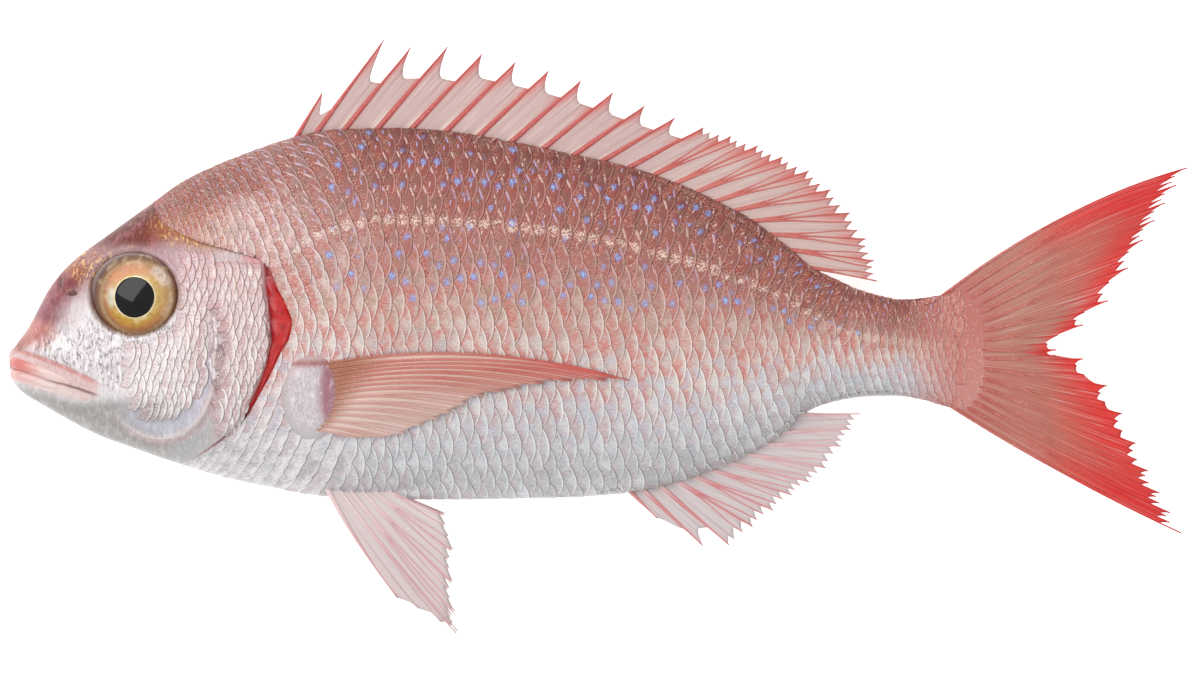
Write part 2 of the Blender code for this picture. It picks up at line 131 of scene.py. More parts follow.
def ease(value, start, end):
    """0 before start, 1 after end, and a soft step between."""
    t = np.clip((value - start) / (end - start), 0.0, 1.0)
    return t * t * (3 - 2 * t)


# %% [markdown]
# ## Making materials by doing sums
# A material is a sum of masks and colours. Writing each Math node by hand hides that, so a
# socket is wrapped in a small class that understands +, - and *. Every other node comes
# from one method, which takes the node's type, its settings and its sockets.

# %% A wrapped socket, and a finish
class Wire:
    """A node's output that Python's operators can do sums with."""

    def __init__(self, finish, socket):
        self.finish = finish
        self.socket = socket

    def math(self, operation, *values):
        return self.finish.node("Math", {"operation": operation}, dict(enumerate(values)))

    def __add__(self, other):
        return self.math("ADD", self, other)

    def __sub__(self, other):
        return self.math("SUBTRACT", self, other)

    def __rsub__(self, other):
        return self.math("SUBTRACT", other, self)

    def __mul__(self, other):
        return self.math("MULTIPLY", self, other)

    __radd__ = __add__
    __rmul__ = __mul__

    def size(self):
        return self.math("ABSOLUTE", self)

    def step(self, start, end):
        """0 at start and 1 at end, with a soft step between. Start may be the larger."""
        rising = start < end
        sockets = {0: self, 1: min(start, end), 2: max(start, end), 3: float(not rising), 4: float(rising)}
        return self.finish.node("MapRange", {"interpolation_type": "SMOOTHSTEP"}, sockets)


class Finish:
    """A material under construction, with one Principled shader."""

    def __init__(self, name):
        self.material = bpy.data.materials.new(name)
        self.material.use_nodes = True
        self.tree = self.material.node_tree
        self.tree.nodes.clear()

    def node(self, kind, settings=None, sockets=None, out=0):
        made = self.tree.nodes.new("ShaderNode" + kind)
        for key, value in (settings or {}).items():
            setattr(made, key, value)
        for key, value in (sockets or {}).items():
            if isinstance(value, Wire):
                self.tree.links.new(value.socket, made.inputs[key])
            else:
                made.inputs[key].default_value = value
        return Wire(self, made.outputs[out]) if made.outputs else None

    def mix(self, first, second, share):
        return self.node("Mix", {"data_type": "RGBA"}, {0: share, 6: first, 7: second}, out=2)

    def place(self, stretch=(1.0, 1.0, 1.0), turn=0.0):
        """The object's own coordinates in metres, stretched and turned about Z."""
        own = self.node("TexCoord", out=3)
        return self.node("Mapping", None, {0: own, 2: (0.0, 0.0, turn), 3: stretch})

    def noise(self, scale, detail=3.0, stretch=(1.0, 1.0, 1.0), turn=0.0, rough=0.5):
        """Grey noise with features of about one scale-th of a metre."""
        sockets = {"Vector": self.place(stretch, turn), "Scale": scale, "Detail": detail}
        return self.node("TexNoise", None, {**sockets, "Roughness": rough})

    def painted(self, name="paint"):
        return self.node("Attribute", {"attribute_name": name})

    def number(self, name):
        return self.node("Attribute", {"attribute_name": name}, out=2)

    def bump(self, height, depth, strength=1.0):
        return self.node("Bump", None, {"Height": height, "Distance": depth, "Strength": strength})

    def skin(self, **sockets):
        """The shader itself. Names with spaces are given with underscores."""
        named = {key.replace("_", " "): value for key, value in sockets.items()}
        shader = self.node("BsdfPrincipled", None, named)
        self.node("OutputMaterial", None, {"Surface": shader})
        return self.material


def rgb(red, green, blue):
    """A colour as a screen shows it, 0 to 255, turned into linear light."""
    light = [((c / 255 + 0.055) / 1.055) ** 2.4 if c > 10 else c / 3294.6 for c in (red, green, blue)]
    return (*light, 1.0)


print("finishes are made with", Finish.node.__name__, "and", Wire.step.__name__)

# %% [markdown]
# ## Meshes with paint on them
# Large fields of colour follow the fish's form: dark red along the back, salmon on the flank,
# silver on the belly. They are worked out point by point, from the plan place, and stored as
# a colour on each vertex. The materials add what is finer than the mesh.

# %% Helpers for meshes
UP = np.array((0.0, 0.0, 1.0))
MAP_BORDER = 0.005


def set_points(item, points):
    item.data.vertices.foreach_set("co", np.ascontiguousarray(points, np.float32).ravel())
    item.data.update()


def read(rows, name, width=1, kind=np.float32):
    """One value or one row of values for each item of a mesh."""
    values = np.empty(len(rows) * width, kind)
    rows.foreach_get(name, values)
    return values.reshape(-1, width) if width > 1 else values


def get_points(item):
    return read(item.data.vertices, "co", 3).astype(float)


def read_numbers(item, name):
    return read(item.data.attributes[name].data, "value").astype(float)


def paint(item, colours, name="paint"):
    """Stores a colour for each vertex."""
    layer = item.data.color_attributes.new(name, "FLOAT_COLOR", "POINT")
    rows = np.ones((len(item.data.vertices), 4), np.float32)
    rows[:, :3] = colours
    layer.data.foreach_set("color", rows.ravel())


def mark(item, values, name):
    """Stores a number for each vertex."""
    layer = item.data.attributes.new(name, "FLOAT", "POINT")
    layer.data.foreach_set("value", np.ascontiguousarray(values, np.float32))


def bake_map(item):
    """Seen from above the left side fills the upper half of the map, the right side the lower."""
    layer = item.data.uv_layers.new(name="OFBake")
    loops = read(item.data.loops, "vertex_index", kind=np.int32)
    counts = read(item.data.polygons, "loop_total", kind=np.int32)
    up = np.repeat(read(item.data.polygons, "normal", 3)[:, 2] >= 0, counts)
    points = get_points(item)
    low, high = points.min(axis=0), points.max(axis=0)
    flat = ((points - low) / (high - low))[loops]
    u = MAP_BORDER + (1 - 2 * MAP_BORDER) * flat[:, 0]
    v = MAP_BORDER + (0.5 - 2 * MAP_BORDER) * flat[:, 1] + 0.5 * up
    layer.data.foreach_set("uv", np.stack([u, v], axis=1).astype(np.float32).ravel())


def finish_piece(item, material, slot, *nodes):
    """Gives a piece its material and smooth faces, and hides the solids it stands for; the slot is not used.
    """
    item.data.materials.clear()
    item.data.materials.append(material)
    item.data.shade_smooth()
    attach(item, "root")
    if nodes:
        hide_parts(*nodes)
    triangles = sum(len(face.vertices) - 2 for face in item.data.polygons)
    print(item.name, "has", triangles, "triangles")
    return item


def mesh_piece(name, points, faces):
    """A piece from arrays of points and faces."""
    mesh = bpy.data.meshes.new(name)
    mesh.from_pydata(points.tolist(), [], faces)
    mesh.update()
    item = bpy.data.objects.new(name, mesh)
    bpy.context.scene.collection.objects.link(item)
    return item


def add_ball(name, segments, rings):
    """A new UV sphere of radius 1 with its poles on the X axis."""
    bpy.ops.object.select_all(action="DESELECT")
    bpy.ops.mesh.primitive_uv_sphere_add(segments=segments, ring_count=rings, radius=1.0)
    item = bpy.context.object
    item.name = name
    points = get_points(item)
    set_points(item, np.stack([-points[:, 2], points[:, 0], -points[:, 1]], axis=1))
    return item


def ball_angles(item):
    """The share of the way from the front pole to the rear one, and the angle round."""
    points = get_points(item)
    share = np.arccos(np.clip(-points[:, 0], -1.0, 1.0)) / math.pi
    return share, np.arctan2(points[:, 1], points[:, 2])


def grid_faces(rows, columns):
    """The quads of a grid of points, and the numbers of the points round its rim."""
    index = np.arange(rows * columns).reshape(rows, columns)
    corners = (index[:-1, :-1], index[:-1, 1:], index[1:, 1:], index[1:, :-1])
    rim = np.concatenate([index[0], index[1:, -1], index[-1, -2::-1], index[-2:0:-1, 0]])
    return np.stack(corners, axis=-1).reshape(-1, 4), rim


def apply(item, kind, **settings):
    """Adds a modifier, sets it and applies it."""
    bpy.ops.object.select_all(action="DESELECT")
    item.select_set(True)
    bpy.context.view_layer.objects.active = item
    made = item.modifiers.new(kind.lower(), kind)
    for key, value in settings.items():
        setattr(made, key, value)
    bpy.ops.object.modifier_apply(modifier=made.name)


print("piece helpers are ready")

# %% [markdown]
# ## The colours of the skin
# From the belly to the back the skin goes from grey silver through salmon to a dark purple
# brown. A row of named tones along that way is enough, because every scale adds its own.

# %% Colour of the skin at a plan place
BODY_TONES = (
    (0.00, rgb(146, 140, 134)), (0.05, rgb(162, 161, 157)), (0.14, rgb(176, 175, 174)),
    (0.26, rgb(180, 168, 167)), (0.40, rgb(184, 152, 148)), (0.53, rgb(178, 134, 128)),
    (0.64, rgb(156, 94, 92)), (0.75, rgb(148, 84, 78)), (0.88, rgb(122, 54, 52)),
    (0.96, rgb(82, 30, 36)), (1.00, rgb(60, 22, 32)),
)


def tones(share, stops):
    """Colours between the stops of a row of tones."""
    at = np.array([stop[0] for stop in stops])
    colours = np.array([stop[1][:3] for stop in stops])
    return np.stack([np.interp(share, at, colours[:, part]) for part in range(3)], axis=-1)


def blend(first, second, share):
    """Goes from the first colours to the second by a share at each point."""
    first, second = np.asarray(first)[..., :3], np.asarray(second)[..., :3]
    return first + (second - first) * np.asarray(share)[..., None]


def layers(colours, *rows):
    """Lays (red, green, blue, share) rows over the colours, one after the other."""
    for red, green, blue, share in rows:
        colours = blend(colours, rgb(red, green, blue), share)
    return colours


def spot(x, y, centre, radii, soft=0.6):
    """1 inside an ellipse, fading to 0 past its edge."""
    distance = np.hypot((x - centre[0]) / radii[0], (y - centre[1]) / radii[1])
    return ease(distance, 1 + soft, 1 - soft / 2)


def body_share(x, y):
    """0 on the belly's edge and 1 on the back's edge."""
    return (y - belly(x)) / np.maximum(back(x) - belly(x), 1e-6)


def body_colour(x, y):
    share = np.clip(body_share(x, y), 0, 1)
    rear = ease(x, 0.180, 0.230) * ease(share, 0.5, 0.8) * (1 - 0.4 * ease(x, 0.240, 0.255))
    root = ease(x, 0.262, 0.284)
    return layers(tones(share, BODY_TONES), (108, 50, 50, 0.6 * rear), (194, 118, 108, 0.9 * root))


print("mid flank colour:", body_colour(0.15, 0.01).round(3))

# %% [markdown]
# ## Finding a place on the skin
# Scales lie in rows along the flank, so they need a flat sort of map of a round fish: x along
# the body, and the arc walked over the skin from the middle of the flank. The map is a table
# of arcs, worked out once by adding up small steps, and read in between with straight lines.

# %% The section of the body, and a point lifted off the skin
TURN = math.pi / 2


def section(x, around):
    """A point of the bare skin: around is 0 at mid flank and a quarter turn at the back."""
    across = np.sin(around)
    middle, half = (back(x) + belly(x)) / 2, (back(x) - belly(x)) / 2
    height = half_width(x) * np.cos(around) * narrowing(across)
    return np.stack([x, middle + half * across, height], axis=-1)


def over_skin(x, around, lift, side=1):
    """A point above the skin by the lift, on the left side or, for -1, on the right one."""
    x, around, lift = np.broadcast_arrays(x, around, lift)
    here = section(x, around)
    normal = np.cross(section(x + 1e-4, around) - here, section(x, around + 1e-3) - here)
    long = np.linalg.norm(normal, axis=-1, keepdims=True)
    here = here + normal / np.maximum(long, 1e-12) * lift[..., None]
    return place(here[..., 0], here[..., 1], side * here[..., 2])


def angle_of(x, y):
    """The angle round the section of a plan place."""
    top, low = back(x), belly(x)
    return np.arcsin(np.clip((2 * y - top - low) / np.maximum(top - low, 1e-6), -1, 1))


# %% The table of arcs
MAP_X = np.linspace(0.0, BODY_END, 220)
MAP_TURNS = np.radians(np.linspace(-150, 150, 301))
MAP_ARCS = np.linspace(-0.09, 0.09, 361)
MAP_MIDDLE = len(MAP_TURNS) // 2
map_steps = section(*np.meshgrid(MAP_X, MAP_TURNS, indexing="ij"))
map_walk = np.cumsum(np.linalg.norm(np.diff(map_steps, axis=1), axis=2), axis=1)
map_walk = np.pad(map_walk, ((0, 0), (1, 0)))
map_walk -= map_walk[:, MAP_MIDDLE : MAP_MIDDLE + 1]
map_turn = np.array([np.interp(MAP_ARCS, walk, MAP_TURNS) for walk in map_walk])


def look_up(table, columns, x, at):
    """Reads a table with straight lines between its rows and columns."""
    i = np.clip(x / MAP_X[1], 0, len(MAP_X) - 1.001)
    j = np.clip((at - columns[0]) / (columns[1] - columns[0]), 0, len(columns) - 1.001)
    row, column = i.astype(int), j.astype(int)
    s, t = i - row, j - column
    low = table[row, column] * (1 - t) + table[row, column + 1] * t
    return low * (1 - s) + (table[row + 1, column] * (1 - t) + table[row + 1, column + 1] * t) * s


def turn_at(x, arc):
    return look_up(map_turn, MAP_ARCS, x, arc)


def arc_at(x, y):
    return look_up(map_walk, MAP_TURNS, x, angle_of(x, y))


print("arc from mid flank to the back at 12 cm:", round(float(arc_at(0.12, back(0.12))), 4))

# %% [markdown]
# ## The lines of the head
# A sea bream's head is bone under thin skin. The gill cover ends in a free edge with the red
# gill behind it, the cheek ends in a ridge that turns forward below, and the mouth is a short
# slanting line. Each line is one curve, and both the relief and the colours use it.

# %% Lines of the head, across (y) for the upright ones and along (x) for the mouth
gill_front = curve(
    (-0.0300, 0.0560), (-0.0232, 0.0652), (-0.0190, 0.0694), (-0.0122, 0.0729), (-0.0057, 0.0758),
    (0.0056, 0.0782), (0.0131, 0.0776), (0.0205, 0.0767), (0.0250, 0.0764), (0.0290, 0.0762),
)
gill_rear = curve(
    (-0.0300, 0.0564), (-0.0232, 0.0659), (-0.0193, 0.0704), (-0.0122, 0.0746), (-0.0054, 0.0784),
    (0.0006, 0.0812), (0.0048, 0.0836), (0.0095, 0.0845), (0.0146, 0.0827), (0.0205, 0.0797),
    (0.0240, 0.0782), (0.0290, 0.0772),
)
scale_front = curve(
    (-0.0450, 0.0480), (-0.0330, 0.0500), (-0.0297, 0.0568), (-0.0232, 0.0662), (-0.0193, 0.0704),
    (-0.0122, 0.0747), (-0.0054, 0.0785), (0.0006, 0.0813), (0.0048, 0.0837), (0.0095, 0.0846),
    (0.0146, 0.0829), (0.0205, 0.0799), (0.0245, 0.0784), (0.0285, 0.0740), (0.0310, 0.0650),
    (0.0345, 0.0540), (0.0400, 0.0450), (0.0520, 0.0400),
)
mouth_line = curve(
    (0.0, -0.0034), (0.0060, -0.0050), (0.0140, -0.0078), (0.0226, -0.0106), (0.0270, -0.0122),
)
maxilla_top = curve(
    (0.0, 0.0022), (0.0040, 0.0010), (0.0110, -0.0014), (0.0200, -0.0052), (0.0268, -0.0086),
    (0.0300, -0.0110),
)
jaw_low = curve(
    (0.0, -0.0070), (0.0060, -0.0092), (0.0140, -0.0116), (0.0226, -0.0134), (0.0270, -0.0126),
)
EYE = (0.0376, 0.0178)
EYE_RING = (0.0132, 0.0121)
CHEEK = (0.0455, -0.0020)
FRONT_NOSTRIL = ((0.0152, 0.0216), (0.0005, 0.0015))
REAR_NOSTRIL = ((0.0190, 0.0184), (0.0013, 0.0006))
NAPE_GOLD = ((0.0590, 0.0376), (0.0125, 0.0054))
BROW_GOLD = ((0.0250, 0.0262), (0.0068, 0.0040))
CHEEK_RIDGES = ((1.00, 0.030, 0.0005), (0.86, 0.09, -0.0004), (0.72, 0.04, 0.0003), (1.09, 0.04, -0.0004))
cheek_edge = curve(
    (-180, 0.0165), (-135, 0.0200), (-90, 0.0222), (-60, 0.0206), (-30, 0.0178), (0, 0.0162),
    (45, 0.0205), (90, 0.0200), (135, 0.0150), (180, 0.0165),
)


def cheek_share(x, y):
    """1 on the ridge at the edge of the cheek, and how much there is a ridge at that angle."""
    angle = np.degrees(np.arctan2(y - CHEEK[1], x - CHEEK[0]))
    ratio = np.hypot(x - CHEEK[0], y - CHEEK[1]) / cheek_edge(angle)
    return ratio, ease(angle, -150, -95) * ease(angle, 62, 30)


def eye_share(x, y):
    return np.hypot((x - EYE[0]) / EYE_RING[0], (y - EYE[1]) / EYE_RING[1])


def ridge(value, centre, width):
    return np.exp(-(((value - centre) / width) ** 2))


# %% How far the head's surface stands off the plain loft
def head_lift(x, y):
    front, rear = gill_front(y), gill_rear(y)
    mouth, upper, lower = mouth_line(x), maxilla_top(x), jaw_low(x)
    cover = ease(y, 0.0285, 0.0235) * ease(y, -0.0300, -0.0220)
    raised = ease(x, front - 0.020, front - 0.002) * ease(x, front + 0.0002, front - 0.0009)
    slit = ease(x, front - 0.0002, front + 0.0007) * ease(x, rear + 0.0006, rear - 0.0004)
    slit = slit * ease(y, 0.0290, 0.0245) * ease(y, -0.0290, -0.0180)
    ratio, there = cheek_share(x, y)
    relief = 0.0008 * ease(ratio, 1.05, 0.98)
    for at, width, height in CHEEK_RIDGES:
        relief = relief + height * ridge(ratio, at, width)
    eye = eye_share(x, y)
    socket = 0.0052 * ease(eye, 1.00, 0.86) + 0.0008 * ease(eye, 1.08, 0.96) - 0.0005 * ridge(eye, 1.10, 0.08)
    lips = 0.0006 * ease(y, mouth, mouth + 0.0006) * ease(y, upper, upper - 0.0006)
    lips = lips + 0.0004 * ease(y, mouth, mouth - 0.0006) * ease(y, lower, lower + 0.0008)
    lips = (lips - 0.0010 * ridge(y, mouth, 0.00035)) * ease(x, 0.0275, 0.0225)
    groove = ridge(y, upper + 0.0002, 0.0004) * ease(x, 0.0310, 0.0270) * ease(x, 0.002, 0.006)
    nostrils = 0.0005 * spot(x, y, *FRONT_NOSTRIL) + 0.0008 * spot(x, y, *REAR_NOSTRIL)
    lift = 0.0015 * raised * cover - 0.0022 * slit + there * relief - socket
    return lift + lips - 0.0004 * groove - nostrils


print("gill cover stands proud by", round(1000 * float(head_lift(0.0755, 0.008)), 2), "mm")

# %% [markdown]
# ## The skin of the head
# The head starts as a UV sphere, whose rings are moved to places from the snout to behind the
# gill. The last rings fold shut inside the body, so the piece is closed. Its relief is the
# sum of the ridges and grooves above, which fade before the keels, where the two sides meet.

# %% Shape the head
HEAD_END = 0.0960


def even_turn(around):
    """Spreads points evenly over a section that is much deeper than thick."""
    return around - 0.2 * np.sin(2 * around)


def shape_skin(item, start, end, closed_front, lift_of):
    """Moves a ball's points to the skin between two places, and returns their plan places."""
    share, around = ball_angles(item)
    turn = even_turn(np.where(np.abs(around) > TURN, np.sign(around) * math.pi - around, around))
    side = np.where(np.abs(around) > TURN, -1.0, 1.0)
    fold = ease(share, 1.0, 0.975) * (ease(share, 0.0, 0.025) if closed_front else 1.0)
    along = np.clip(share / 0.975, 0, 1) ** (1.0 if closed_front else 1.25)
    x = start + (end - start) * along
    bare = section(x, turn)
    lift = lift_of(x, bare[:, 1], turn)
    points = over_skin(x, turn, lift, side)
    middle = place(x, (back(x) + belly(x)) / 2, 0.0)
    folded = middle + (points - middle) * fold[:, None]
    set_points(item, folded if closed_front else np.where((share > 0.97)[:, None], folded, points))
    return x, bare[:, 1], turn


def lift_of_head(x, y, turn):
    keel = ease(np.abs(turn), math.radians(82), math.radians(68))
    behind = ease(x, scale_front(y) + 0.0002, scale_front(y) + 0.0015)
    return head_lift(x, y) * keel * (1 - behind) - 0.0009 * behind * keel


head = add_ball("head_skin", 360, 268)
head_x, head_y, _ = shape_skin(head, 0.0, HEAD_END, False, lift_of_head)
print("head box:", get_points(head).min(axis=0).round(4), get_points(head).max(axis=0).round(4))

# %% Paint the head
def snout_share(x, y):
    return ease(x, 0.026, 0.010) * ease(y, 0.0005, 0.0065) * ease(body_share(x, y), 0.52, 0.70)


def head_colour(x, y):
    share, eye = body_share(x, y), eye_share(x, y)
    front, rear = gill_front(y), gill_rear(y)
    mouth, upper, lower = mouth_line(x), maxilla_top(x), jaw_low(x)
    ratio, there = cheek_share(x, y)
    lips = ease(x, 0.0290, 0.0240)
    in_maxilla = ease(y, mouth - 0.0002, mouth + 0.0003) * ease(y, upper + 0.0004, upper)
    in_jaw = ease(y, mouth, mouth - 0.0004) * ease(y, lower - 0.0004, lower + 0.0004)
    slit = ease(x, front - 0.0002, front + 0.0005) * ease(y, 0.0300, 0.0260)
    nostrils = spot(x, y, *FRONT_NOSTRIL) + spot(x, y, *REAR_NOSTRIL)
    crown = blend(rgb(116, 26, 10), rgb(90, 24, 20), ease(share, 0.88, 1.0))
    colours = layers(
        rgb(224, 217, 219),
        (180, 148, 148, 0.75 * ease(x, 0.044, 0.060)),
        (178, 178, 180, ease(y, -0.0135, -0.0200) * ease(x, 0.070, 0.055)),
        (158, 156, 154, ease(y, lower + 0.0015, lower - 0.0030) * ease(x, 0.062, 0.040)),
    )
    return layers(
        blend(colours, crown, ease(share, 0.70, 0.86)),
        (140, 72, 86, 0.95 * snout_share(x, y)),
        (204, 132, 120, 0.7 * spot(x, y, (0.0075, 0.0060), (0.0060, 0.0040))),
        (174, 104, 50, 0.85 * spot(x, y, *NAPE_GOLD)),
        (182, 112, 70, 0.70 * spot(x, y, *BROW_GOLD)),
        (172, 128, 138, 0.7 * spot(x, y, (0.0490, 0.0275), (0.0090, 0.0045))),
        (190, 150, 156, 0.5 * spot(x, y, (0.0300, 0.0290), (0.0090, 0.0035))),
        (198, 108, 112, 0.8 * spot(x, y, (0.0800, 0.0285), (0.0085, 0.0030))),
        (206, 150, 150, 0.6 * ease(x, front - 0.005, front) * ease(y, -0.020, -0.005)),
        (192, 192, 208, 0.8 * there * ridge(ratio, 0.86, 0.10) * ease(y, 0.008, -0.008)),
        (232, 216, 216, 0.7 * there * ridge(ratio, 1.0, 0.035)),
        (198, 168, 170, 0.7 * there * ridge(ratio, 1.08, 0.035)),
        (186, 152, 156, 0.75 * ridge(eye, 1.10, 0.14) * ease(y, 0.012, 0.022)),
        (132, 88, 56, 0.80 * ease(eye, 1.06, 0.99)),
        (216, 182, 178, 0.9 * in_maxilla * lips),
        (202, 126, 120, 0.85 * ridge(y, upper, 0.0007) * lips),
        (218, 190, 186, 0.85 * in_jaw * lips),
        # A dark line of painted shade in the groove where the lips meet.
        (120, 64, 62, 0.9 * ridge(y, mouth, 0.0004) * lips),
        # The nostrils: painted shade in their two small pits.
        (70, 38, 42, 0.85 * nostrils),
        (190, 42, 40, slit * ease(x, rear + 0.0012, rear)),
    )


def dusk(x, y):
    """Where the head is dark and mottled: the crown and the snout."""
    return np.clip(ease(body_share(x, y), 0.66, 0.84) + snout_share(x, y), 0, 1)


def crinkle(x, y):
    """Where the silvery skin of the cheek is finely wrinkled."""
    area = ease(y, 0.0120 + 0.10 * x, 0.0020 + 0.10 * x) * ease(y, maxilla_top(x), maxilla_top(x) + 0.0025)
    ratio, there = cheek_share(x, y)
    return np.clip(area * ease(x, 0.002, 0.010) - 0.45 * there * ridge(ratio, 0.86, 0.12), 0, 1) * 0.75 + 0.25


paint(head, head_colour(head_x, head_y))
mark(head, crinkle(head_x, head_y), "crinkle")
gold_share = spot(head_x, head_y, *NAPE_GOLD) + spot(head_x, head_y, *BROW_GOLD)
mark(head, np.clip(gold_share, 0, 1), "gold")
mark(head, dusk(head_x, head_y), "dusk")
print("mean head colour:", head_colour(head_x, head_y).mean(axis=0).round(3))

# %% [markdown]
# ## The finish of bare skin
# Wet fish skin is a thin clear layer over tiny mirrors. The shader copies that with a low
# roughness, a clear coat, and a bump of fine wrinkles. Numbers stored on the points say where
# the skin is wrinkled, golden or dusky. The bump and the flecks are noise in the object's own
# coordinates, so they stay on the fish. The colour also carries painted light: painted shade in
# the creases of the wrinkles, and painted highlights on their crests, golden on the gilded patches.

# %% Skin of the head
def head_finish():
    made = Finish("wet_head_skin")
    colour = made.painted()
    crinkled, gold, plain = made.number("crinkle"), made.number("gold"), made.number("dusk")
    grain = made.noise(1500, 4)
    wide = made.noise(250, 3, stretch=(2.4, 0.8, 1.0), turn=math.radians(12))
    narrow = made.noise(520, 3, stretch=(2.4, 0.7, 1.0), turn=math.radians(-12))
    cloud = made.noise(110, 4)
    patch = made.noise(300, 3)
    wrinkled = crinkled * (1 - plain * 0.85)
    wide_line, thin_line = (wide - 0.5).size(), (narrow - 0.5).size()
    # Masks for painted light on the wrinkles: painted shade in the creases, a painted highlight on the crests.
    crease_shade = (wide_line.step(0.034, 0.0) + thin_line.step(0.036, 0.0) * 0.8) * wrinkled
    crest_highlight = (wide.step(0.54, 0.62) * 0.6 + narrow.step(0.56, 0.64) * 0.6) * wrinkled
    mottled = made.mix(colour, rgb(84, 28, 30), 0.6)
    pits = grain.step(0.46, 0.36) * (0.25 + 0.55 * gold) * plain
    for over, share in (
        (mottled, cloud.step(0.44, 0.64) * 0.60 * plain),
        (rgb(190, 116, 128), patch.step(0.52, 0.68) * 0.35 * plain * (1 - gold)),
        (rgb(222, 164, 120), grain.step(0.56, 0.68) * (0.14 + 0.6 * gold)),
        (rgb(112, 56, 44), pits),
        # Painted shade along the creases of the fine wrinkles, and a golden painted highlight on their crests,
        # strongest on the gilded patches.
        (rgb(110, 44, 34), thin_line.step(0.030, 0.0) * (gold * 0.5 + plain * 0.35)),
        (rgb(236, 184, 112), narrow.step(0.54, 0.64) * (gold * 0.65 + plain * 0.10)),
        # Painted shade in the creases of the cheek's wrinkles, and a painted highlight on their crests.
        (rgb(118, 98, 104), crease_shade * 0.78),
        (rgb(255, 252, 252), crest_highlight * 0.75),
    ):
        colour = made.mix(colour, over, share)
    height = wide * (0.25 + crinkled * 0.75) + narrow * 0.5 * crinkled + grain * (0.25 + gold * 0.5)
    return made.skin(
        Base_Color=colour, Roughness=0.44 - crest_highlight * 0.15, IOR=1.40, Coat_Weight=0.35, Coat_Roughness=0.12,
        Normal=made.bump(height, 0.00050, 1.0),
    )


finish_piece(head, head_finish(), "skin", "fish")
bake_map(head)

# %% Skin of the body, mostly under scales
PAD = (0.0905, -0.0124)
PAD_RADII = (0.0068, 0.0096)
PAD_SOFTNESS = 0.5
PAD_RISE = 0.0017
HEAD_TUCK = 0.0032


def tucked(x, y):
    """1 where the body's skin dives under the head's."""
    return ease(x, scale_front(y) + 0.0010, scale_front(y) - 0.0002)


def lift_of_body(x, y, turn):
    keel = ease(np.abs(turn), math.radians(74), math.radians(84))
    keel = keel * ease(x, 0.075, 0.095) * ease(x, 0.284, 0.270)
    return 0.0005 * keel + PAD_RISE * spot(x, y, PAD, PAD_RADII, PAD_SOFTNESS) - HEAD_TUCK * tucked(x, y)


def keel_colour(x, y, turn):
    low, high = np.degrees(turn) < 0, np.abs(np.degrees(turn))
    fading = 0.8 * ease(x, 0.282, 0.268)
    return layers(
        body_colour(x, y),
        (210, 202, 206, 0.9 * spot(x, y, PAD, PAD_RADII, 0.4)),
        (152, 84, 96, 0.90 * spot(x, y, (0.0955, -0.0105), (0.0024, 0.0085))),
        # A dark red line of painted shade in the crease along the pad's top edge.
        (142, 44, 44, 0.85 * spot(x, y, (0.0895, -0.0024), (0.0042, 0.0010), 0.8)),
        (168, 140, 122, fading * low * ease(high, 72, 84)),
        (92, 52, 62, fading * ~low * ease(high, 74, 86)),
    )


def body_finish():
    made = Finish("wet_body_skin")
    rippled = made.number("pad")
    grain = made.noise(1300, 3)
    ripple = made.noise(420, 4, stretch=(1.8, 0.8, 1.0), turn=math.radians(-30), rough=0.6)
    pale = made.mix(made.painted(), rgb(226, 206, 200), grain.step(0.56, 0.70) * 0.4)
    # On the pad's ripples: painted shade along the creases and a painted highlight on the crests.
    ripple_crease_shaded = made.mix(pale, rgb(158, 132, 148), (ripple - 0.5).size().step(0.040, 0.0) * rippled * 0.6)
    ripple_crest_lit = made.mix(ripple_crease_shaded, rgb(250, 242, 246), ripple.step(0.56, 0.70) * rippled * 0.4)
    return made.skin(
        Base_Color=ripple_crest_lit, Roughness=0.42, IOR=1.40, Coat_Weight=0.3, Coat_Roughness=0.15,
        Normal=made.bump(grain * 0.4 + ripple * rippled, 0.0004, 0.8),
    )


body = add_ball("body_skin", 160, 150)
body_x, body_y, body_turn = shape_skin(body, 0.0700, BODY_END, True, lift_of_body)
paint(body, keel_colour(body_x, body_y, body_turn))
mark(body, spot(body_x, body_y, PAD, PAD_RADII, 0.25), "pad")
finish_piece(body, body_finish(), "skin", "fish")
bake_map(body)

# %% [markdown]
# ## Scales
# A bream's scales are thin round plates in rows like roof tiles: each covers the front of the
# next, and alternate rows are shifted by half a scale. Only the rear part shows, as a tall
# diamond with a round rear edge. So each scale is modelled as that part with a little more
# under its neighbours, tilted so that the rear edge stands up, and closed underneath. One
# patch is made as an array and laid down at every place at once, because a thousand separate
# objects would be slow.

# %% One scale, as rows from its rear edge forward and columns across
SCALE_COLUMNS = 9
SCALE_ROWS = 5
SCALE_SPREAD = math.radians(40)
ROW_SPACING = 0.00615
PITCH_SHARE = 0.657
SCALE_LENGTH = 0.60
SCALE_REACH = 1.66
patch_angle = np.linspace(-SCALE_SPREAD, SCALE_SPREAD, SCALE_COLUMNS)
patch_forward = np.array((0.0, 0.05, 0.25, 0.60, 1.0))
patch_across, patch_along = np.meshgrid(patch_angle, patch_forward)
patch_a = ((np.cos(patch_across) - 1 - patch_along * SCALE_LENGTH) * SCALE_REACH + 1).ravel()
patch_b = (np.sin(patch_across) * (1 - 0.12 * patch_along) * SCALE_REACH).ravel()
patch_u = patch_along.ravel()
patch_v = (patch_across / SCALE_SPREAD).ravel()


def patch_faces():
    """Faces of a closed patch: the top, a low wall round it and one face underneath."""
    top, rim = grid_faces(SCALE_ROWS, SCALE_COLUMNS)
    low = SCALE_ROWS * SCALE_COLUMNS + np.arange(len(rim))
    walls = np.stack([rim, low, np.roll(low, -1), np.roll(rim, -1)], axis=1)
    return top, walls, low[::-1], rim


PATCH_TOP, PATCH_WALLS, PATCH_UNDER, PATCH_RIM = patch_faces()
print("faces in one scale:", len(PATCH_TOP) + len(PATCH_WALLS) + 1)

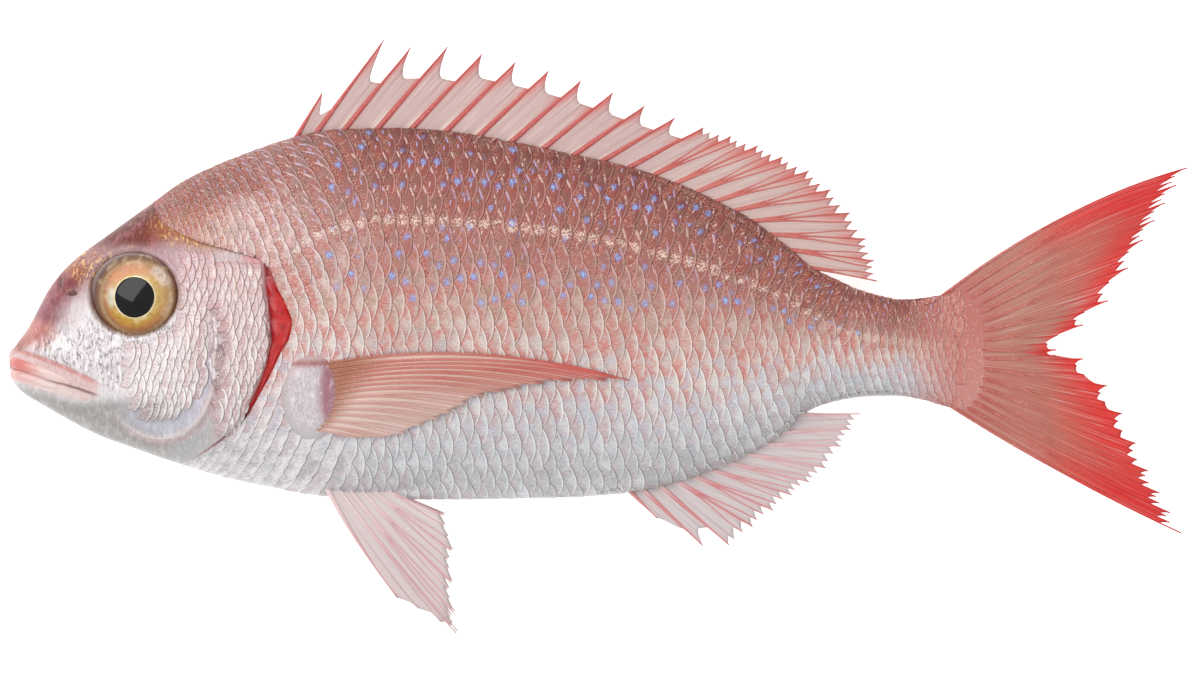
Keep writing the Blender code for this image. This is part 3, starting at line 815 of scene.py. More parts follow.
# %% Lay scales in rows
lateral_line = curve(
    (0.0700, 0.0270), (0.0839, 0.0309), (0.0907, 0.0348), (0.0984, 0.0378), (0.1100, 0.0396),
    (0.1213, 0.0398), (0.1341, 0.0392), (0.1463, 0.0381), (0.1606, 0.0366), (0.1731, 0.0342),
    (0.1921, 0.0300), (0.2058, 0.0262), (0.2204, 0.0211), (0.2320, 0.0158), (0.2433, 0.0095),
    (0.2498, 0.0059), (0.2605, 0.0045), (0.2721, 0.0030), (0.2900, 0.0020),
)
MIDDLE_ROW = 0.0035
size_share = curve(
    (0.040, 0.28), (0.056, 0.42), (0.078, 0.74), (0.098, 1.0), (0.190, 1.0), (0.230, 0.80),
    (0.265, 0.60), (0.290, 0.45),
)


def row_places(first, last, level, spacing, keep):
    """Scale centres (x, arc, size, slope) in rows above or below a level line."""
    found = []
    steps = [first]
    while steps[-1] < last:
        steps.append(steps[-1] + PITCH_SHARE * spacing(np.array(steps[-1])).item())
    steps = np.array(steps)
    for row in range(-24, 25):
        x = steps + 0.5 * PITCH_SHARE * spacing(steps) * (row % 2)
        arc = level(x) + row * spacing(x)
        slope = (level(x + 1e-3) + row * spacing(x + 1e-3) - arc) / 1e-3
        good = keep(x, arc, row) & (x < last)
        found.append(np.stack([x, arc, spacing(x), slope, np.full_like(x, row)], axis=1)[good])
    return np.concatenate(found)


def closed(rows):
    """Values of a patch's top, and again of its rim for the points underneath."""
    return np.concatenate([rows, rows[..., PATCH_RIM]], axis=-1)


def lay_scales(name, places, side, surface_lift, edge_limit=None, rise=1.0, unruly=0.05):
    """One closed mesh of scales, with what each point needs for its colour."""
    places = places[np.argsort(-places[:, 0], kind="stable")]
    x, arc, size, slope, row = places.T
    luck = np.random.default_rng(len(places) + (side > 0)).random((len(places), 3))
    lean = np.arctan(slope) + unruly * (luck[:, 0] - 0.5)
    reach = size * (1 + unruly * (luck[:, 1] - 0.5))
    a = patch_a[None] * reach[:, None]
    b = patch_b[None] * reach[:, None]
    px = x[:, None] + a * np.cos(lean)[:, None] - b * np.sin(lean)[:, None]
    pw = arc[:, None] + a * np.sin(lean)[:, None] + b * np.cos(lean)[:, None]
    px = np.clip(px, 0.001, BODY_END - 0.001)
    turn = turn_at(px, pw)
    if edge_limit is not None:
        border = edge_limit(section(px, turn)[..., 1])
        px = np.where(px < border, border, px)
        turn = turn_at(px, pw)
    lift = (0.40 - 0.31 * patch_u - 0.07 * (patch_u == 0)) * 1e-3
    lift = lift - 0.16e-3 * np.abs(patch_v) ** 3 + 0.04e-3 * (1 - patch_v**2)
    plan_y = section(px, turn)[..., 1]
    base = surface_lift(px, plan_y, turn)
    stand = rise * (size / ROW_SPACING) ** 0.7 * (0.80 + 0.4 * luck[:, 2])
    stand = stand * (1 - 0.6 * ease(x, 0.262, 0.280))
    settle = 1.0
    if edge_limit is not None:
        on_nape = ease(plan_y, 0.0255, 0.0290) + ease(plan_y, -0.0290, -0.0320)
        settle = 1 - 0.9 * on_nape * ease(px - edge_limit(plan_y), 0.0075, 0.0010)
    up = over_skin(px, turn, base + lift[None] * stand[:, None] * settle, side)
    low = over_skin(px[:, PATCH_RIM], turn[:, PATCH_RIM], base[:, PATCH_RIM] - 0.00030, side)
    points = np.concatenate([up, low], axis=1)
    per_scale = points.shape[1]
    top, walls, under = PATCH_TOP, PATCH_WALLS, PATCH_UNDER
    if side < 0:
        top, walls, under = top[:, ::-1], walls[:, ::-1], under[::-1]
    shift = (np.arange(len(places)) * per_scale)[:, None, None]
    faces = []
    for tops, sides, bottom in zip(top + shift, walls + shift, under + shift[:, 0]):
        faces += tops.tolist() + sides.tolist() + [bottom.tolist()]
    item = mesh_piece(name, points.reshape(-1, 3), faces)
    colour_x = np.repeat(x[:, None], per_scale, axis=1) * 0.6 + closed(px) * 0.4
    colour_y = np.mean(plan_y, axis=1, keepdims=True) * 0.6 + closed(plan_y) * 0.4
    mark(item, np.tile(closed(patch_u), len(places)), "forward")
    mark(item, np.tile(closed(patch_v), len(places)), "across")
    mark(item, np.repeat(luck[:, 0], per_scale), "luck")
    mark(item, np.repeat(luck[:, 1], per_scale), "other_luck")
    return item, colour_x.ravel(), colour_y.ravel(), np.repeat(row, per_scale)


def scale_size(x):
    return ROW_SPACING * size_share(x)


def lateral_arc(x):
    return arc_at(x, lateral_line(x))


def middle_arc(x):
    return arc_at(x, np.full_like(x, MIDDLE_ROW))


KEEL_LIMIT = math.radians(84)
SCALES_END = 0.2815


def on_flank(x, arc):
    """True where a scale belongs: behind the head, off the keels and off the fin's root."""
    turn = turn_at(x, arc)
    y = section(x, turn)[..., 1]
    size = scale_size(x)
    behind = x + 0.80 * size > scale_front(y)
    along_pad = (x + 0.7 * size - PAD[0] - 0.0022) / (0.66 * PAD_RADII[0])
    off_pad = np.hypot(along_pad, (y - PAD[1]) / (0.72 * PAD_RADII[1])) > 1
    ragged_end = SCALES_END - 0.0045 * np.sin(arc * 2600.0) ** 2
    return (np.abs(turn) < KEEL_LIMIT) & behind & off_pad & (x < ragged_end)


upper_rows = row_places(
    0.0380, 0.2860, lateral_arc, scale_size,
    lambda x, arc, row: on_flank(x, arc) & (row >= 0),
)
lower_rows = row_places(
    0.0400, 0.2860, middle_arc, scale_size,
    lambda x, arc, row: on_flank(x, arc) & (arc < lateral_arc(x) - 0.52 * scale_size(x)),
)
print("scales on one side:", len(upper_rows), "above the lateral line and", len(lower_rows), "below")

# %% [markdown]
# ## The finish of a scale
# Every scale is painted by the same rule, read from where a point lies on it: a thin pale
# line along the rear edge, a dark line of painted shade just outside it, where the edge lies
# over the next scale, a silvery middle and a salmon blush where it comes out from under the
# one before. Above, some scales carry painted highlights, a pale dash or a blue glint, where
# the tiny mirrors in the skin happen to face the light.

# %% Shader of the scales
def scale_finish(name, line_width=0.030, gloss=0.36):
    made = Finish(name)
    base = made.painted()
    silver, blush = made.painted("silver"), made.painted("blush")
    forward, across = made.number("forward"), made.number("across")
    luck, other = made.number("luck"), made.number("other_luck")
    height, mirror = made.number("height"), made.number("lateral")
    grain = made.noise(1500, 3)
    fine = made.noise(3000, 2)
    cloud = made.noise(330, 3)
    offset = (cloud - 0.5) * 0.45
    middle = (across.size() + forward * 0.7 + offset).step(1.0, 0.25)
    fill = made.mix(base, silver, middle * (0.45 + 0.55 * luck))
    seat = (forward + across.size() * 0.75 + offset * 0.6).step(0.36, 0.66) * (0.35 + 0.65 * other)
    blushed = made.mix(fill, blush, seat * 0.8)
    from_heart = (forward - 0.34) * (forward - 0.34) * 24.0 + across * across * 12.0
    heart = from_heart.step(1.3, 0.0) * other.step(0.42, 0.75)
    hearted = made.mix(blushed, blush, heart * 0.55)
    streak = made.noise(2300, 2, stretch=(0.45, 1.0, 1.0))
    patchy = made.noise(240, 3)
    olive = made.mix(hearted, made.painted("olive"), patchy.step(0.46, 0.66) * 0.60)
    ruddy = made.mix(olive, blush, patchy.step(0.50, 0.34) * height.step(0.25, 0.50) * 0.50)
    streaked = made.mix(ruddy, silver, streak.step(0.54, 0.68) * 0.55)
    shaded = made.mix(streaked, made.painted("outline"), streak.step(0.47, 0.32) * 0.38)
    pale_line = forward.step(line_width * 4.2, line_width * 1.5) * (cloud * 1.1 + luck * 0.5 - 0.15)
    lined = made.mix(shaded, made.painted("edge"), pale_line)
    # Just outside the rear edge: a dark line of painted shade where the edge lies over the next scale, also a
    # groove in the bump.
    edge_shade_line = forward.step(line_width * 1.3, 0.0)
    edge_shaded = made.mix(lined, made.painted("outline"), edge_shade_line * 0.85)
    # Pale dashes on the upper scales: painted highlights where the skin's tiny mirrors catch the light.
    glint_dash = (across - 0.25 - luck * 0.4).size().step(0.26, 0.16) * (forward - 0.13).size().step(0.045, 0.015)
    second = (across + 0.55 - other * 0.7).size().step(0.15, 0.08)
    second = second * (forward - 0.34 + across * 0.1).size().step(0.040, 0.015)
    glint_dash = (glint_dash + second) * height.step(0.50, 0.85) * (grain + luck * 0.22).step(0.46, 0.58)
    glint_dash_tone = made.mix(rgb(240, 214, 208), rgb(190, 188, 238), other.step(0.55, 0.7))
    glint_dashed = made.mix(edge_shaded, glint_dash_tone, glint_dash * 0.80)
    dots = fine.step(0.55, 0.64) * height.step(0.35, 0.75) * (forward + across.size() * 0.7).step(0.35, 0.75)
    dotted = made.mix(glint_dashed, rgb(240, 200, 184), dots * 0.70)
    # Blue glints on chosen scales: a painted reflection, star-shaped and paler in the middle.
    left, up = (forward - 0.34) * 6.5, (across - other * 0.7 + 0.35) * 6.0
    far = left * left + up * up + (grain - 0.5) * 3.4 + (fine - 0.5) * 3.0
    blue_glint = far.step(1.45, 0.45) * made.number("blue")
    blue_glint_tone = made.mix(rgb(104, 118, 196), rgb(158, 196, 242), far.step(0.7, -0.2))
    blue_glinted = made.mix(dotted, blue_glint_tone, blue_glint * 0.85)
    left, up = (forward - 0.34) * 3.4, across * 3.4
    line = mirror * (left * left + up * up).step(1.2, 0.3) * (fine * 0.5 + grain * 0.5).step(0.49, 0.55)
    final = made.mix(blue_glinted, rgb(244, 218, 202), line * 0.85)
    bump = made.bump(grain * 0.8 + streak * 0.4 - edge_shade_line * 1.2, 0.00020, 0.8)
    edge_on = height.step(0.76, 0.96)
    rough = gloss + 0.20 * grain - 0.10 * glint_dash + 0.20 * edge_on
    coat = 0.25 - 0.23 * edge_on
    return made.skin(
        Base_Color=final, Roughness=rough, IOR=1.42, Coat_Weight=coat, Coat_Roughness=0.15, Normal=bump,
    )


def flank_colour(x, y):
    """The body's colour, which runs into the head's on the nape."""
    nape = ease(x, 0.088, 0.062)[:, None] * ease(y, 0.020, 0.030)[:, None]
    front = ease(x, 0.110, 0.085) * ease(body_share(x, y), 0.85, 0.6)
    belly_front = ease(x, 0.125, 0.085) * ease(body_share(x, y), 0.32, 0.14)
    body_tone = layers(body_colour(x, y), (214, 196, 192, 0.55 * front), (230, 232, 232, 0.75 * belly_front))
    both = body_tone * (1 - nape) + head_colour(x, y) * nape
    return blend(both, rgb(230, 204, 202), 0.7 * spot(x, y, (0.0720, 0.0385), (0.0100, 0.0068), 0.9))


def dress_scales(item, x, y, row, material, colour_of=flank_colour, head_part=False):
    """Stores the colours that a scale's finish mixes, each under its own name."""
    share = np.clip(body_share(x, y), 0, 1)
    base = colour_of(x, y)
    upper, low = ease(share, 0.35, 0.80), ease(share, 0.42, 0.10)
    front = ease(x, 0.112, 0.080) * (1 - 0.5 * ease(share, 0.72, 0.90)) * (not head_part)
    root = 0.95 * ease(x, 0.260, 0.281) * (not head_part)
    looks = {
        "paint": base,
        "silver": layers(
            blend(rgb(216, 206, 196), layers(base, (204, 148, 138, 0.28)), upper),
            (212, 213, 217, low),
            (134, 64, 58, 0.6 * ease(share, 0.80, 0.95)),
            (244, 230, 228, 0.45 * front),
            (206, 142, 132, 0.95 * root),
        ),
        "blush": layers(
            rgb(202, 108, 98), (184, 168, 176, low), (160, 82, 66, upper), (190, 104, 96, root),
        ),
        "edge": layers(
            rgb(246, 236, 228),
            (214, 158, 150, upper),
            (232, 234, 234, low),
            (168, 100, 92, 0.6 * ease(share, 0.82, 0.95)),
            (252, 240, 238, 0.65 * front),
            (222, 170, 160, root),
        ),
        "olive": layers(
            base,
            (190, 176, 136, 0.45),
            (182, 190, 206, ease(share, 0.52, 0.34)),
            (164, 170, 170, ease(share, 0.22, 0.08)),
            (118, 74, 66, 0.75 * upper),
            (196, 124, 114, root),
        ),
        # The colour of the painted shade line along each scale's rear edge.
        "outline": layers(
            rgb(182, 104, 100),
            (132, 130, 130, low),
            (96, 44, 44, upper),
            (120, 70, 72, 0.5 * front * ease(share, 0.3, 0.5)),
            (150, 80, 76, root),
        ),
    }
    if head_part:
        looks["silver"] = layers(base, (252, 248, 249, 0.65))
        looks["blush"] = layers(base, (190, 126, 128, 0.50))
        looks["olive"] = base
        # The painted shade along the small scales' rear edges.
        looks["outline"] = rgb(112, 92, 92)[:3]
    for name, colours in looks.items():
        paint(item, colours, name)
    mark(item, share, "height")
    luck, other = read_numbers(item, "luck"), read_numbers(item, "other_luck")
    # Which scales carry a painted blue glint: a few upper ones, more in two bands.
    chance = 0.16 * ease(share, 0.56, 0.62) + 0.72 * ridge(share, 0.885, 0.045)
    chance = chance + 0.62 * ridge(share, 0.62, 0.055)
    chance = chance * ease(x, 0.086, 0.100) * ease(x, 0.262, 0.235)
    mark(item, (luck < chance) * (0.45 + 0.55 * other), "blue")
    on_line = (row == 0) & (x > 0.083) & (not head_part)
    mark(item, np.where(on_line, ease(x, 0.272, 0.235) * 0.8 + 0.2, 0.0), "lateral")
    finish_piece(item, material, "skin", "fish")
    bake_map(item)


def scale_base(x, y, turn):
    """The surface that scales lie on: the body's skin without its pad and its tucked edge."""
    bare = PAD_RISE * spot(x, y, PAD, PAD_RADII, PAD_SOFTNESS) - HEAD_TUCK * tucked(x, y)
    return lift_of_body(x, y, turn) - bare


scales = scale_finish("bream_scales")
head_scales = scale_finish("small_head_scales", line_width=0.07, gloss=0.30)
for word, side in (("left", 1), ("right", -1)):
    for part, places in (("upper", upper_rows), ("lower", lower_rows)):
        on_row = places[:, 4] if part == "upper" else places[:, 4] + 100
        rows = np.column_stack([places[:, :4], on_row])
        laid = lay_scales(part + "_scales_" + word, rows, side, scale_base, scale_front)
        dress_scales(*laid, scales)

# %% [markdown]
# ## Small scales of the head
# The gill cover and the cheek carry the same roof of scales, only smaller and paler. They are
# laid on the head's own relief, inside the lines that bound them.

# %% Scales of the gill cover and the cheek
def small_scales(size):
    return lambda x: np.full_like(x, size)


def plan_of(x, arc):
    return section(x, turn_at(x, arc))[..., 1]


def on_cover(x, arc, row):
    y = plan_of(x, arc)
    ratio, there = cheek_share(x, y)
    low_edge = -0.0225 + 0.9 * np.maximum(0.0640 - x, 0)
    inside = (x + 0.0028 < gill_front(y) - 0.0004) & (y < 0.0265 - 0.1 * (x - 0.065)) & (y > low_edge)
    return inside & ((ratio > 1.10) | (there < 0.2)) & (x > 0.0500) & (y > -0.0225)


def on_cheek(x, arc, row):
    y = plan_of(x, arc)
    ratio, there = cheek_share(x, y)
    return (ratio < 0.70) & (eye_share(x, y) > 1.22) & (y > -0.0165) & (x > 0.0300 - 0.5 * y) & (y < 0.012)


cover_rows = row_places(0.0480, 0.0790, middle_arc, small_scales(0.0034), on_cover)
cheek_rows = row_places(0.0250, 0.0620, middle_arc, small_scales(0.0033), on_cheek)
print("small scales on one side:", len(cover_rows), "and", len(cheek_rows))
for word, side in (("left", 1), ("right", -1)):
    for part, places in (("cover", cover_rows), ("cheek", cheek_rows)):
        laid = lay_scales(part + "_scales_" + word, places, side, lift_of_head, rise=0.85, unruly=0.26)
        dress_scales(*laid, head_scales, head_colour, True)

# %% [markdown]
# ## The gill
# Behind the gill cover shows a strip of the gill's own wet tissue, dark red at its front and
# brighter at its rear rim. It is a curved strip that fills the groove, thick enough to look
# soft.

# %% Gill tissue
def make_gill(word, side):
    y = np.linspace(-0.0292, 0.0236, 90)[:, None]
    across = np.linspace(0, 1, 9)[None]
    front, rear = gill_front(y) - 0.0006, gill_rear(y) + 0.0006
    x = front + (rear - front) * across
    wide = np.clip((rear - front) / 0.0070, 0.15, 1)
    lift = -0.0012 + 0.0011 * np.sin(math.pi * across) * wide + 0.0002 * np.sin(900 * y + 6 * across)
    turn = angle_of(x, np.broadcast_to(y, x.shape))
    top = over_skin(x, turn, lift, side)
    under = over_skin(x, turn, -0.0030, side)
    quads, rim = grid_faces(*x.shape)
    following = np.roll(rim, -1)
    walls = np.stack([following, rim, rim + x.size, following + x.size], axis=1)
    faces = quads.tolist() + (quads[:, ::-1] + x.size).tolist() + walls.tolist()
    item = mesh_piece("gill_" + word, np.concatenate([top.reshape(-1, 3), under.reshape(-1, 3)]), faces)
    if side < 0:
        item.data.flip_normals()
    share = np.tile(np.broadcast_to(across, x.shape).ravel(), 2)
    level = np.tile(np.broadcast_to(y, x.shape).ravel(), 2)
    paint(item, layers(
        rgb(192, 22, 24),
        (134, 20, 28, ease(share, 0.45, 0.0) * 0.8),
        (212, 52, 30, ease(share, 0.80, 0.95) * 0.8),
        (168, 84, 92, ease(level, 0.018, 0.024) * 0.8),
    ))
    return item


def gill_finish():
    made = Finish("wet_gill")
    veins = made.noise(500, 4)
    colour = made.mix(made.painted(), rgb(120, 16, 22), veins.step(0.52, 0.70) * 0.6)
    bump = made.bump(veins, 0.0004, 0.8)
    return made.skin(
        Base_Color=colour, Roughness=0.40 + 0.15 * veins, Coat_Weight=0.25, Coat_Roughness=0.1, Normal=bump,
    )


gill_material = gill_finish()
for word, side in (("left", 1), ("right", -1)):
    finish_piece(make_gill(word, side), gill_material, "gill", "fish")

# %% [markdown]
# ## Fins
# A fin is a thin web held out by rays. The spines in front are single and sharp, the soft rays
# behind branch two or three times towards the edge. Each fin is two curves by ray number, one
# for the ray's base and one for its tip. The web is a grid between them, given a wall by a
# Solidify modifier, and the rays are tapered tubes laid along the same curves.

# %% Curves of each fin by ray number
def pair(*rows):
    """A smooth plan place by ray number, from (ray, x, y) rows."""
    x = curve(*[(row[0], row[1]) for row in rows])
    y = curve(*[(row[0], row[2]) for row in rows])
    return lambda ray: np.stack([x(ray), y(ray)], axis=-1)


dorsal_x = curve(
    (1, 0.0850), (2, 0.0907), (3, 0.0990), (4, 0.1088), (7, 0.1389), (10, 0.1671), (13, 0.1906),
    (16, 0.2091), (18, 0.2198), (21, 0.2372),
)
anal_x = curve((1, 0.1841), (2, 0.1879), (3, 0.1930), (7, 0.2130), (11, 0.2348))
FIN_BASES = {
    "dorsal": lambda ray: np.stack([dorsal_x(ray), back(dorsal_x(ray))], axis=-1),
    "anal": lambda ray: np.stack([anal_x(ray), belly(anal_x(ray))], axis=-1),
    "tail": pair(
        (1, 0.2780, 0.0180), (5, 0.2862, 0.0110), (9, 0.2885, 0.0015), (13, 0.2865, -0.0085),
        (17, 0.2795, -0.0150),
    ),
    "pelvic": pair((1, 0.0946, -0.0392), (6, 0.1100, -0.0392)),
    "pectoral": pair((1, 0.0916, -0.0030), (8, 0.0928, -0.0122), (15, 0.0904, -0.0217)),
}
FIN_TIPS = {
    "dorsal": pair(
        (1, 0.0928, 0.0779), (2, 0.1112, 0.0937), (3, 0.1192, 0.0914), (4, 0.1302, 0.0917),
        (5, 0.1404, 0.0895), (8, 0.1698, 0.0815), (11, 0.1978, 0.0705), (14, 0.2224, 0.0622),
        (15, 0.2299, 0.0589), (16, 0.2376, 0.0547), (17, 0.2441, 0.0491), (18, 0.2498, 0.0422),
        (19, 0.2545, 0.0345), (20, 0.2569, 0.0280), (21, 0.2578, 0.0220),
    ),
    "anal": pair(
        (1, 0.1924, -0.0485), (2, 0.2061, -0.0568), (3, 0.2138, -0.0565), (4, 0.2209, -0.0511),
        (6, 0.2325, -0.0416), (8, 0.2427, -0.0336), (9, 0.2471, -0.0271), (11, 0.2528, -0.0175),
    ),
    "tail": pair(
        (1, 0.3500, 0.0556), (3, 0.3435, 0.0452), (5, 0.3369, 0.0342), (6, 0.3325, 0.0259),
        (7, 0.3265, 0.0161), (8, 0.3191, 0.0089), (9, 0.3111, 0.0015), (10, 0.3191, -0.0012),
        (11, 0.3262, -0.0092), (12, 0.3307, -0.0175), (14, 0.3384, -0.0345), (17, 0.3482, -0.0529),
    ),
    "pelvic": pair(
        (1, 0.1154, -0.0720), (2, 0.1329, -0.0825), (3, 0.1320, -0.0764), (4, 0.1314, -0.0675),
        (5, 0.1314, -0.0580), (6, 0.1291, -0.0474),
    ),
    "pectoral": pair(
        (1, 0.1775, -0.0056), (2, 0.1841, -0.0074), (4, 0.1668, -0.0077), (6, 0.1523, -0.0098),
        (8, 0.1415, -0.0119), (10, 0.1320, -0.0169), (12, 0.1234, -0.0205), (14, 0.1112, -0.0244),
        (15, 0.1035, -0.0244),
    ),
}
ROOT_DEPTH = 0.0035
ROOT_SHARE = 0.34
FIN_WAVE = 0.0009
TAIL_MIDDLE = 9


def fin_point(fin, ray, along, lift=0.0, side=1):
    """A point on a fin: along is 0 at its root and 1 at the tip of the ray."""
    ray, along, lift = np.broadcast_arrays(np.asarray(ray, float), along, lift)
    base, tip = FIN_BASES[fin](ray), FIN_TIPS[fin](ray)
    if fin != "pectoral":
        long = np.linalg.norm(tip - base, axis=-1, keepdims=True)
        base = base - (tip - base) / long * (0.0010 if fin == "tail" else ROOT_DEPTH)
    spot_at = base + (tip - base) * along[..., None]
    x, y = spot_at[..., 0], spot_at[..., 1]
    bulge = 4 * along * (1 - along)
    if fin == "tail":
        outer = (TAIL_MIDDLE - ray) / 8
        y = y + np.where(outer > 0, 0.0046, 0.0016) * outer * np.abs(outer) * bulge
        height = FIN_WAVE * ease(along, ROOT_SHARE, 0.80) * np.sin(ray * 0.5)
    elif fin == "pelvic":
        x = x - 0.0012 * (6 - ray) / 5 * bulge
        height = 0.0050 + (0.0040 if side > 0 else 0.0080) * along**1.5 + FIN_WAVE * along * np.sin(ray * 1.4)
    elif fin == "pectoral":
        y = y + 0.0048 * (15 - ray) / 14 * bulge
        height = skin_height(x, y) + 0.0001 + 0.0012 * ease(along, 0.02, 0.14)
    else:
        height = FIN_WAVE * along * np.sin(ray * 0.9)
    return place(x, y, side * height + lift)


# %% The edge of the web between two rays, and where it turns from spines to soft rays
SPINES = {"dorsal": 12, "anal": 3, "tail": 0, "pelvic": 1, "pectoral": 0}
RAYS = {"dorsal": 21, "anal": 11, "tail": 17, "pelvic": 6, "pectoral": 15}
TOOTH_DEPTH = {"dorsal": 0.11, "anal": 0.11, "tail": 0.065, "pelvic": 0.06, "pectoral": 0.02}
RAY_RADIUS = {"dorsal": 0.00092, "anal": 0.00085, "tail": 0.00080, "pelvic": 0.00085, "pectoral": 0.00062}
WEB_ROWS = {"tail": 26, "dorsal": 16, "anal": 16, "pelvic": 18, "pectoral": 26}
WEB_THICKNESS = 0.00026
TEETH = 3


def fork_share(fin, number):
    """1 by the tail's fork, where the rays end in bigger lobes, and 0 far from it."""
    return math.exp(-(((number - TAIL_MIDDLE) / 2.6) ** 2)) if fin == "tail" else 0.0


def web_edge(fin, ray, step):
    """How far along the rays the web reaches, a step of the way from one ray to the next."""
    if ray < SPINES[fin]:
        low = {1: 0.34, 2: 0.62, 3: 0.66, 4: 0.68}.get(ray, 0.76) if fin == "dorsal" else 0.74
        return low + (1 - low) * np.clip(1 - step / 0.62, 0, 1) ** 1.8
    tooth = (step * TEETH) % 1.0
    small = 0.035 * np.sin(math.pi * np.floor(step * TEETH) / TEETH)
    fork = fork_share(fin, ray + 0.5)
    bay = 0.16 * fork * 4 * step * (1 - step)
    return 1.0 - (TOOTH_DEPTH[fin] * tooth**0.8 + small) * (1 - 0.4 * fork) - bay


def make_web(fin, side):
    """The web as one grid for each gap between two rays, joined and given a wall."""
    rows, columns = WEB_ROWS[fin], 6 * TEETH + 1
    quads, _ = grid_faces(rows, columns)
    points, faces, rays, shares = [], [], [], []
    for ray in range(1, RAYS[fin]):
        step = np.linspace(0, 1, columns)
        along = np.linspace(0, 1, rows)[:, None] * web_edge(fin, ray, step)[None]
        number = np.broadcast_to(ray + step[None], along.shape)
        sag = 0.0001 * np.sin(math.pi * step)[None] * along
        grid = fin_point(fin, number, along, sag, side)
        faces += (quads + len(points) * rows * columns).tolist()
        points.append(grid.reshape(-1, 3))
        rays.append(number.ravel())
        shares.append(along.ravel())
    item = mesh_piece(fin + "_web_" + ("left" if side > 0 else "right"), np.concatenate(points), faces)
    mark(item, np.concatenate(rays), "ray")
    mark(item, np.concatenate(shares), "along")
    apply(item, "SOLIDIFY", thickness=WEB_THICKNESS, offset=0.0)
    if fin == "tail":
        here = get_points(item)
        share = read_numbers(item, "along")
        under = skin_height(here[:, 0] + LENGTH / 2, here[:, 1] + PLAN_MIDDLE)
        under = under - 0.0002 + 0.0003 * ease(share, 0.0, 0.12)
        off = here[:, 2] - MIDDLE_HEIGHT
        near_root = share < ROOT_SHARE
        here[:, 2] = MIDDLE_HEIGHT + np.where(near_root, np.sign(off) * np.maximum(np.abs(off), under), off)
        set_points(item, here)
    return item


def tubes(name, paths, radii, sides=6, tall=None):
    """Joined tapered tubes along many paths of the same number of points."""
    paths, radii = np.asarray(paths), np.asarray(radii)
    ahead = np.gradient(paths, axis=1)
    ahead /= np.maximum(np.linalg.norm(ahead, axis=-1, keepdims=True), 1e-12)
    beside = np.cross(np.broadcast_to(UP, ahead.shape), ahead)
    beside /= np.maximum(np.linalg.norm(beside, axis=-1, keepdims=True), 1e-12)
    over = np.cross(ahead, beside)
    angle = np.linspace(0, 2 * math.pi, sides, endpoint=False)
    tall = radii if tall is None else tall
    wide_part = beside[:, :, None] * np.cos(angle)[:, None] * radii[:, :, None, None]
    tall_part = over[:, :, None] * np.sin(angle)[:, None] * tall[:, :, None, None]
    points = paths[:, :, None] + wide_part + tall_part
    count, knots = paths.shape[:2]
    a = np.arange(knots * sides).reshape(knots, sides)
    b = np.roll(a, -1, axis=1)
    wall = np.stack([a[:-1], b[:-1], b[1:], a[1:]], axis=-1).reshape(-1, 4)
    shift = np.arange(count) * knots * sides
    faces = (wall[None] + shift[:, None, None]).reshape(-1, 4).tolist()
    faces += (a[0][::-1][None] + shift[:, None]).tolist() + (a[-1][None] + shift[:, None]).tolist()
    return mesh_piece(name, points.reshape(-1, 3), faces)


def ray_paths(fin, side):
    """Paths and radii of every spine and of every branch of every soft ray."""
    paths, radii, numbers, shares = [], [], [], []
    along = np.linspace(0.0, 1.0, 18)
    for ray in range(1, RAYS[fin] + 1):
        single = ray <= SPINES[fin]
        for branch in range(1 if single else TEETH):
            apart = 0.0 if single else (branch - (TEETH - 1) / 2) * (1 / TEETH)
            fork = (0.12 + 0.88 * ease(along, 0.12, 0.95)) * apart
            number = np.clip(ray + fork, 1.0, RAYS[fin])
            reach = 1.0 if single or branch == 1 else 0.965 - 0.142 * fork_share(fin, ray + (branch - 1) / 2)
            paths.append(fin_point(fin, number, along * reach, 0.00012 * side, side))
            slim = 1.0 if single else (0.55 - 0.22 * ease(along, 0.2, 0.7))
            taper = np.clip(1.0 - 0.94 * along ** (1.2 if single else 1.6), 0.05, 1.0)
            radius = np.maximum(RAY_RADIUS[fin] * slim * taper, 0.00018 if single else 0.00021)
            radii.append(radius * (1 + 0.04 * branch))
            numbers.append(np.full_like(along, ray))
            shares.append(along)
    return np.array(paths), np.array(radii), np.array(numbers), np.array(shares)


def make_rays(fin, side):
    paths, radii, numbers, shares = ray_paths(fin, side)
    tall = radii
    if fin == "tail":
        under = skin_height(paths[..., 0] + LENGTH / 2, paths[..., 1] + PLAN_MIDDLE)
        proud = 0.00052 * ease(shares, 0.0, 0.18) - 0.00030
        tall = np.where(shares < ROOT_SHARE, np.maximum(radii, under + proud), radii)
    item = tubes(fin + "_rays_" + ("left" if side > 0 else "right"), paths, radii, tall=tall)
    mark(item, np.repeat(numbers.ravel(), 6), "ray")
    mark(item, np.repeat(shares.ravel(), 6), "along")
    return item


# %% [markdown]
# ## Colours of the fins
# The webs are thin and let the white ground through, so they are painted pale. The rays carry
# the red. The tail is red towards its tips and salmon at its root.

